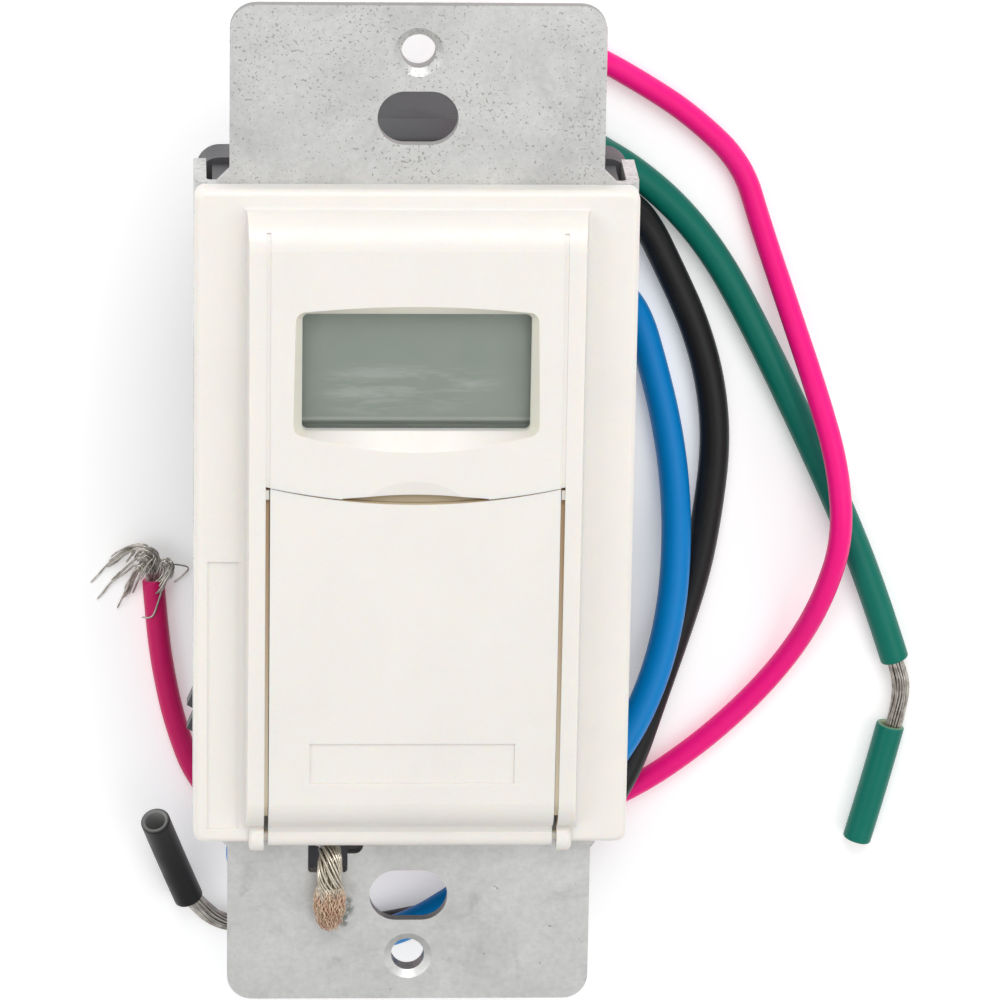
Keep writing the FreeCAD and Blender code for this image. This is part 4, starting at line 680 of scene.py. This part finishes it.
# Bare wires of the three thicker leads: radius of one wire, radians of lay in a metre, swelling along the way.
# Level is the lead's radius where the route gives such heights, or None where it gives z.
bundles = {
    "black": {"node": "black_lead_strands", "wire": 0.122, "lay": 130.0, "wide": (1.0, 1.12, 1.1, 0.98),
              "high": (1.0, 0.92, 0.92, 0.98), "wander": 0.7, "seed": 11, "tipLoss": 0.05,
              "side": (0.0, 1.0, 0.0), "level": 1.6,
              "route": [(-14.8, -58.4, 0.0), (-17.0, -57.45, 0.05), (-19.6, -57.0, 0.1), (-21.7, -55.3, 0.1),
                        (-23.2, -53.0, 0.5), (-24.1, -50.7, 1.1)]},
    "green": {"node": "green_lead_strands", "wire": 0.122, "lay": 24.0, "wide": (1.0, 1.1, 1.1, 1.0),
              "high": (1.0, 0.95, 0.95, 1.0), "wander": 0.35, "seed": 12, "tipLoss": 0.05,
              "side": (1.0, 0.0, 0.0), "level": 1.55,
              "route": [(54.5, -30.0, 0.0), (54.0, -33.6, 0.0), (53.1, -37.2, 0.0)]},
    "blue": {"node": "blue_lead_strands", "wire": 0.125, "lay": -560.0,
             "wide": (1.0, 1.1, 1.25, 1.42, 1.58, 1.6), "high": (1.0, 1.0, 1.0, 0.98, 0.92, 0.85),
             "wander": 0.5, "seed": 13, "tipLoss": 0.07, "side": (0.3, -0.2, -1.0), "level": None,
             "finish": brightWire,
             "route": [(-8.9, -36.8, -2.5), (-8.25, -36.75, -0.3), (-8.2, -36.75, 1.6), (-8.2, -38.1, 2.95),
                       (-8.25, -40.2, 2.98), (-8.2, -42.3, 2.9)]},
}
for key, bundle in bundles.items():
    end, ahead = ends[key]
    if bundle["level"] is None:
        route = [tuple(value * mm for value in spot) for spot in bundle["route"]]
    else:
        route = onTable(bundle["route"], bundle["level"])
    line = routeLine(key + "WireRoute", [tuple(end - ahead * 0.0015), tuple(end)] + route)
    piece = wireBundle(key + "LeadWires", line, bundle["side"], bundle["wire"] * mm, bundle["lay"],
                       bundle["wide"], bundle["high"], bundle["wander"], bundle["seed"], bundle["tipLoss"])
    withPieces[key].append(dress(piece, "tinned_copper", bundle["node"], bundle.get("finish")))
print("sleeves and bundles made")

# Frayed end of the red lead: families of wires through listed places (mm, height above the table).
# Each family has a number of wires, how far they spread apart (mm), and the least share of the way they go.
# Apart and own scatter a whole wire and each of its places: deviation, limit, and the share upwards.
frayed = {"wire": 0.1, "seed": 21, "root": 0.55, "steps": 72, "growth": (1.5, 0.15), "taper": (0.9, 0.6),
          "apart": (1.0, 1.6, 0.35), "own": (0.3, 0.6, 0.4), "families": [
    (8, 0.30, 0.62, [(-26.62, -18.4, 1.2), (-26.62, -17.6, 1.3), (-26.79, -15.97, 2.0), (-27.05, -14.25, 2.6),
                     (-27.95, -13.75, 2.6), (-29.09, -14.3, 2.1), (-30.26, -15.33, 1.2), (-31.15, -16.23, 0.6),
                     (-32.23, -17.04, 0.15)]),
    (1, 0.05, 1.0, [(-26.71, -18.4, 1.2), (-26.71, -17.6, 1.3), (-26.97, -15.78, 2.0), (-27.5, -14.2, 2.5),
                    (-28.74, -14.12, 2.2), (-30.17, -15.11, 1.3), (-31.6, -16.64, 0.5), (-32.45, -17.68, 0.2),
                    (-33.34, -18.75, 0.12)]),
    (4, 0.13, 0.9, [(-26.89, -18.4, 1.2), (-26.89, -17.6, 1.3), (-27.41, -15.99, 2.2), (-28.21, -15.2, 2.4),
                    (-29.01, -15.98, 1.6), (-30.18, -17.35, 0.6), (-31.34, -18.51, 0.15)]),
    (2, 0.12, 0.75, [(-26.98, -18.4, 1.2), (-26.98, -17.6, 1.3), (-27.68, -16.15, 2.2), (-28.66, -16.26, 1.9),
                     (-29.47, -17.31, 1.0), (-30.9, -18.65, 0.4), (-31.97, -20.03, 0.2), (-32.91, -21.25, 0.12)]),
    (13, 0.42, 0.84, [(-27.0, -18.4, 1.2), (-27.0, -17.6, 1.4), (-27.5, -16.3, 2.0), (-28.05, -16.3, 2.1),
                      (-28.6, -17.6, 1.5), (-29.1, -19.0, 0.7), (-29.75, -20.75, 0.15)]),
    (8, 0.34, 0.7, [(-26.45, -18.4, 1.2), (-26.44, -17.6, 1.4), (-26.17, -15.92, 2.3), (-26.39, -14.5, 2.7),
                    (-27.32, -13.95, 2.7), (-28.29, -14.3, 2.3), (-28.74, -15.13, 1.8), (-29.11, -15.99, 1.3)]),
    (7, 0.40, 0.72, [(-26.5, -18.4, 1.2), (-26.5, -17.6, 1.4), (-26.6, -16.6, 2.1), (-26.9, -15.4, 2.6),
                     (-27.7, -14.9, 2.5), (-28.2, -15.6, 2.1), (-28.0, -16.7, 1.8)]),
    (6, 0.30, 0.72, [(-26.3, -18.4, 1.2), (-26.3, -17.6, 1.4), (-25.91, -16.3, 2.4), (-25.55, -15.2, 2.8),
                     (-24.85, -15.1, 2.9), (-24.5, -15.9, 2.8), (-25.11, -17.17, 2.75), (-25.73, -18.25, 2.7),
                     (-26.53, -18.94, 2.62)]),
    (6, 0.32, 0.7, [(-26.2, -18.4, 1.2), (-26.2, -17.6, 1.4), (-25.9, -16.5, 2.3), (-25.5, -15.8, 2.6),
                    (-25.0, -16.3, 2.6), (-25.3, -17.2, 2.5), (-26.0, -17.7, 2.6)]),
    (1, 0.05, 1.0, [(-26.3, -18.4, 1.2), (-26.3, -17.6, 1.4), (-25.55, -15.83, 2.6), (-24.75, -15.3, 3.0),
                    (-24.75, -16.48, 2.9), (-25.46, -18.06, 2.7), (-26.09, -20.16, 2.62), (-26.71, -21.69, 2.6),
                    (-27.82, -21.88, 2.45)]),
    (1, 0.05, 1.0, [(-26.2, -18.4, 1.2), (-26.2, -17.6, 1.4), (-25.2, -16.03, 2.3), (-24.31, -15.96, 2.0),
                    (-22.9, -16.7, 0.9), (-23.51, -17.8, 0.4), (-24.4, -18.57, 0.2)]),
    (3, 0.25, 0.8, [(-26.8, -18.4, 1.2), (-26.8, -17.6, 1.4), (-26.26, -15.98, 2.5), (-26.39, -15.1, 2.9),
                    (-27.05, -16.0, 2.9), (-27.59, -17.17, 2.7), (-28.22, -18.33, 1.6)])]}


# A wire through places a, b, c, d in turn, between b and c for t from 0 to 1:
# 0.5 (2b + (c - a) t + (2a - 5b + 4c - d) t^2 + (3b - a - 3c + d) t^3)
def wireThrough(places, perSpan=9):
    before, after = 2 * places[:, :1] - places[:, 1:2], 2 * places[:, -1:] - places[:, -2:-1]
    held = np.concatenate([before, places, after], axis=1)
    a, b, c, d = (held[:, first:held.shape[1] - 3 + first, None] for first in range(4))
    t = (np.arange(perSpan) / perSpan)[:, None]
    spans = 0.5 * (2 * b + (c - a) * t + (2 * a - 5 * b + 4 * c - d) * t ** 2
                   + (3 * b - a - 3 * c + d) * t ** 3)
    return np.concatenate([spans.reshape(places.shape[0], -1, 3), places[:, -1:]], axis=1)


# Same number of steps on every wire, over its own share of the way, read straight between the samples
def evenSteps(lines, kept, steps):
    spot = np.linspace(0.0, 1.0, steps)[None, :] * kept[:, None] * (lines.shape[1] - 1.0)
    low = np.minimum(spot.astype(int), lines.shape[1] - 2)
    share = (spot - low)[..., None]
    row = np.arange(len(lines))[:, None]
    return lines[row, low] * (1 - share) + lines[row, low + 1] * share


def scatter(chance, shape, deviation, limit, upwards):
    return np.clip(chance.normal(0.0, deviation, shape), -limit, limit) * np.array([1.0, 1.0, upwards])


def frayedBrush(settings):
    chance = np.random.default_rng(settings["seed"])
    rise, start = settings["growth"]
    wires = []
    for count, spread, least, places in settings["families"]:
        base = np.array(places) * mm + np.array([0.0, 0.0, tableZ])
        growth = np.arange(len(places)) / (len(places) - 1.0) * rise - start
        growth = np.clip(growth, 0.0, 1.0)[None, :, None]
        apart = scatter(chance, (count, 1, 3), *settings["apart"])
        own = scatter(chance, (count, len(places), 3), *settings["own"])
        angle, out = chance.uniform(0, 2 * np.pi, count), np.sqrt(chance.random(count)) * settings["root"] * mm
        root = np.c_[out * np.cos(angle), out * 0.0, out * np.sin(angle)][:, None, :]
        family = base[None] + (apart + own) * spread * mm * growth + root * (1 - growth) ** 2
        wires.append(evenSteps(wireThrough(family), chance.uniform(least, 1.0, count), settings["steps"]))
    centre = np.concatenate(wires)
    centre[..., 2] = np.maximum(centre[..., 2], tableZ + settings["wire"] * mm)
    side, up = carryFrames(centre, (1.0, 0.0, 0.0))
    thick = np.full(centre.shape[:2], settings["wire"] * mm)
    thick[:, -len(settings["taper"]):] *= np.array(settings["taper"])
    return roundSkins("redLeadWires", centre, side, up, thick, around=8)


# Brushed-out tip of the front bundle: fibres packed as sunflower seeds are, swelling and then drawn in,
# centre(k, s) = line(s) + spread(s) root(k / n) (cos side + sin up) of the golden angle, with a random sway
tuft = {"fibres": 330, "fibre": 0.05, "steps": 26, "seed": 31, "spread": (1.38, 1.5, 1.5, 1.2, 0.76),
        "flat": 0.66, "sway": 0.24, "swayRise": 4.0, "waves": (0.8, 2.6), "least": 0.66, "rimLoss": 0.12,
        "route": [(-8.2, -40.1, 2.9), (-8.25, -41.6, 2.92), (-8.2, -43.4, 2.84), (-8.15, -45.15, 2.74)]}


def fibreTuft(settings):
    chance = np.random.default_rng(settings["seed"])
    line = routeLine("tuftRoute", [tuple(value * mm for value in spot) for spot in settings["route"]])
    side, up = carryFrames(line, (1.0, 0.0, 0.0))
    fibres, steps, goldenAngle = settings["fibres"], settings["steps"], 2.39996
    rank = np.arange(fibres)
    out, angle = np.sqrt((rank + 0.5) / fibres)[:, None], (rank * goldenAngle)[:, None]
    kept = chance.uniform(settings["least"], 1.0, (fibres, 1)) * (1.0 - settings["rimLoss"] * out ** 2)
    share = np.linspace(0.0, 1.0, steps)[None, :] * kept
    spots, sides, ups = placesAlong(line, side, up, share * lineLength(line))
    spread = np.interp(share, np.linspace(0, 1, len(settings["spread"])), settings["spread"]) * mm
    sway = settings["sway"] * mm * np.clip(share * settings["swayRise"], 0.0, 1.0)
    turns = chance.uniform(*settings["waves"], (2, fibres, 1))
    starts = chance.uniform(0, 2 * np.pi, (2, fibres, 1))
    across = spread * out * np.cos(angle) + sway * np.sin(2 * np.pi * turns[0] * share + starts[0])
    above = spread * out * np.sin(angle) + sway * np.sin(2 * np.pi * turns[1] * share + starts[1])
    centre = spots + across[..., None] * sides + (above * settings["flat"])[..., None] * ups
    fibreSide, fibreUp = carryFrames(centre, (1.0, 0.0, 0.0))
    thick = np.full((fibres, steps), settings["fibre"] * mm)
    return roundSkins("blueLeadTuft", centre, fibreSide, fibreUp, thick, around=5)


withPieces["blue"].append(dress(fibreTuft(tuft), "tinned_copper", "blue_lead_strands", copperTip))
withPieces["red"].append(dress(frayedBrush(frayed), "tinned_copper", "red_lead_strands"))

# Ledge on the opening's rim, painted brown to stand for the shade seen in the door's side gaps and under the seam
# (mm).
# Face height: crown(y) = peak - y^2 / 2R, and past the crown's end it drops by fall ((end - y) / reach)^1.5.
# The lens under the seam lies between two arcs, y(x) = middle + rise (x / half)^2: the seam and the scoop.
ledges = {"peak": 7.7, "radius": 617.75, "endY": -29.4, "endReach": 2.24, "endFall": 1.1,
          "gapX": (14.71, 15.12), "gapY": (3.5, -31.0), "gapDepth": (0.85, 0.28),
          "seam": (3.17, 1.65, 14.65), "scoop": (4.13, -0.35, 7.4), "lensHalf": 7.3, "lensDepth": (0.75, 0.95),
          "lensFade": (0.0100, 0.0080), "thickness": 0.5,
          # Painted shade tones of the ledge: the gaps' top end, their foot, and the darker strip under the seam
          "top": (0.60, 0.44, 0.28), "foot": (0.64, 0.57, 0.45), "lens": (0.40, 0.33, 0.225)}


def crownHeight(y):
    past = np.maximum(ledges["endY"] - y, 0.0) / ledges["endReach"]
    return ledges["peak"] - y ** 2 / (2 * ledges["radius"]) - ledges["endFall"] * past ** 1.5


# Strip with ring(s) = far edge low, far edge, near edge, near edge low, and a lid at each end
def ledgeStrip(far, near):
    drop = np.array([0.0, 0.0, ledges["thickness"]])
    rings = np.stack([far - drop, far, near, near - drop], axis=1)
    steps = len(rings)
    i, j = np.meshgrid(np.arange(steps - 1), np.arange(4), indexing="ij")
    k = (j + 1) % 4
    sides = np.stack([i * 4 + j, i * 4 + k, i * 4 + 4 + k, i * 4 + 4 + j], axis=-1).reshape(-1, 4)
    lids = np.array([[3, 2, 1, 0], [steps * 4 - 4, steps * 4 - 3, steps * 4 - 2, steps * 4 - 1]])
    return rings.reshape(-1, 3) * mm, np.r_[sides, lids]


def doorLedge():
    steps = 60
    y = np.linspace(*ledges["gapY"], steps)
    z = crownHeight(y) - np.interp(y, ledges["gapY"][::-1], ledges["gapDepth"][::-1])
    inner, outer = [np.c_[np.full(steps, x), y, z] for x in ledges["gapX"]]
    mirror = np.array([-1.0, 1.0, 1.0])
    x = np.linspace(-ledges["lensHalf"], ledges["lensHalf"], 41)
    low, high = [middle + rise * (x / half) ** 2 for middle, rise, half in (ledges["seam"], ledges["scoop"])]
    near = np.c_[x, low, crownHeight(low) - ledges["lensDepth"][0]]
    far = np.c_[x, high, crownHeight(high) - ledges["lensDepth"][1]]
    points, faces, shift = [], [], 0
    for edges in ((outer, inner), (inner * mirror, outer * mirror), (far, near)):
        strip, sides = ledgeStrip(*edges)
        points.append(strip)
        faces.append(sides + shift)
        shift += len(strip)
    mesh = bpy.data.meshes.new("doorLedge")
    mesh.from_pydata(np.concatenate(points).tolist(), [], np.concatenate(faces).tolist())
    mesh.update()
    piece = bpy.data.objects.new("doorLedge", mesh)
    bpy.context.scene.collection.objects.link(piece)
    return piece


# Painted brown shade on the ledge, paler towards the hinge and darkest under the seam
def ledgeShadeFinish():
    material = mouldedPlastic("ledgePaintedShade", ledges["top"])
    tree = material.node_tree
    parts = objectParts(tree)
    along = ramp(tree, parts.outputs["Y"], *gapShadeRun)
    base = mixColour(tree, along, ledges["top"], ledges["foot"])
    middle = ramp(tree, maths(tree, "ABSOLUTE", parts.outputs["X"]), *ledges["lensFade"])
    base = mixColour(tree, middle, base, ledges["lens"])
    paint(tree, tree.nodes["Principled BSDF"], base)
    return material


ledge = doorLedge()
ledge.data.materials.append(ledgeShadeFinish())
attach(ledge, "case")
print("door ledge made")

# Floor, lights and camera
stageSettings = {"floor": 3.0, "floorZ": tableZ - 0.0001, "floorTone": (0.93, 0.93, 0.93), "floorGlow": 0.24,
                 "world": 0.56,
                 "lights": [("keyLight", (0.05, 0.75, 0.75), 0.6, 4.6),
                            ("fillLight", (0.55, -0.1, 0.8), 0.8, 2.0),
                            ("sideLight", (-0.6, 0.1, 0.7), 0.6, 1.6)]}
half, floorZ = stageSettings["floor"] / 2, stageSettings["floorZ"]
floorMesh = bpy.data.meshes.new("floor")
floorMesh.from_pydata([(x * half, y * half, floorZ) for x, y in ((-1, -1), (1, -1), (1, 1), (-1, 1))], [],
                      [(0, 1, 2, 3)])
floor = bpy.data.objects.new("floor", floorMesh)
bpy.context.scene.collection.objects.link(floor)
floorFinish = startMaterial("paleFloor", Roughness=0.9, Base_Color=colour(*stageSettings["floorTone"]),
                            Emission_Color=colour(1.0, 1.0, 1.0),
                            Emission_Strength=stageSettings["floorGlow"])[0]
floorMesh.materials.append(floorFinish)

world = bpy.data.worlds.new("studio")
bpy.context.scene.world = world
world.use_nodes = True
sky = world.node_tree.nodes["Background"].inputs
sky["Color"].default_value = colour(1.0, 1.0, 1.0)
sky["Strength"].default_value = stageSettings["world"]
for name, place, size, power in stageSettings["lights"]:
    light = bpy.data.lights.new(name, "AREA")
    light.shape = "DISK"
    light.size = size
    light.energy = power
    lamp = bpy.data.objects.new(name, light)
    lamp.location = place
    lamp.rotation_mode = "QUATERNION"
    lamp.rotation_quaternion = (Vector((0.0, 0.0, 0.0)) - Vector(place)).to_track_quat("-Z", "Y")
    bpy.context.scene.collection.objects.link(lamp)

cameraSettings = {"place": (-0.023469, 0.204096, 0.619584), "lens": 230.25, "sensor": 36.0, "clip": (0.01, 10.0),
                  "tilt": -0.316169, "swing": -0.0521971, "roll": 0.0169736}
cameraData = bpy.data.cameras.new("camera")
cameraData.lens = cameraSettings["lens"]
cameraData.sensor_width = cameraSettings["sensor"]
cameraData.clip_start, cameraData.clip_end = cameraSettings["clip"]
camera = bpy.data.objects.new("camera", cameraData)
turn = (Matrix.Rotation(cameraSettings["swing"], 4, "Y") @ Matrix.Rotation(cameraSettings["tilt"], 4, "X")
        @ Matrix.Rotation(cameraSettings["roll"], 4, "Z"))
camera.matrix_world = Matrix.Translation(cameraSettings["place"]) @ turn
bpy.context.scene.collection.objects.link(camera)
bpy.context.scene.camera = camera
bpy.context.scene.view_settings.view_transform = "Standard"
print("stage set")
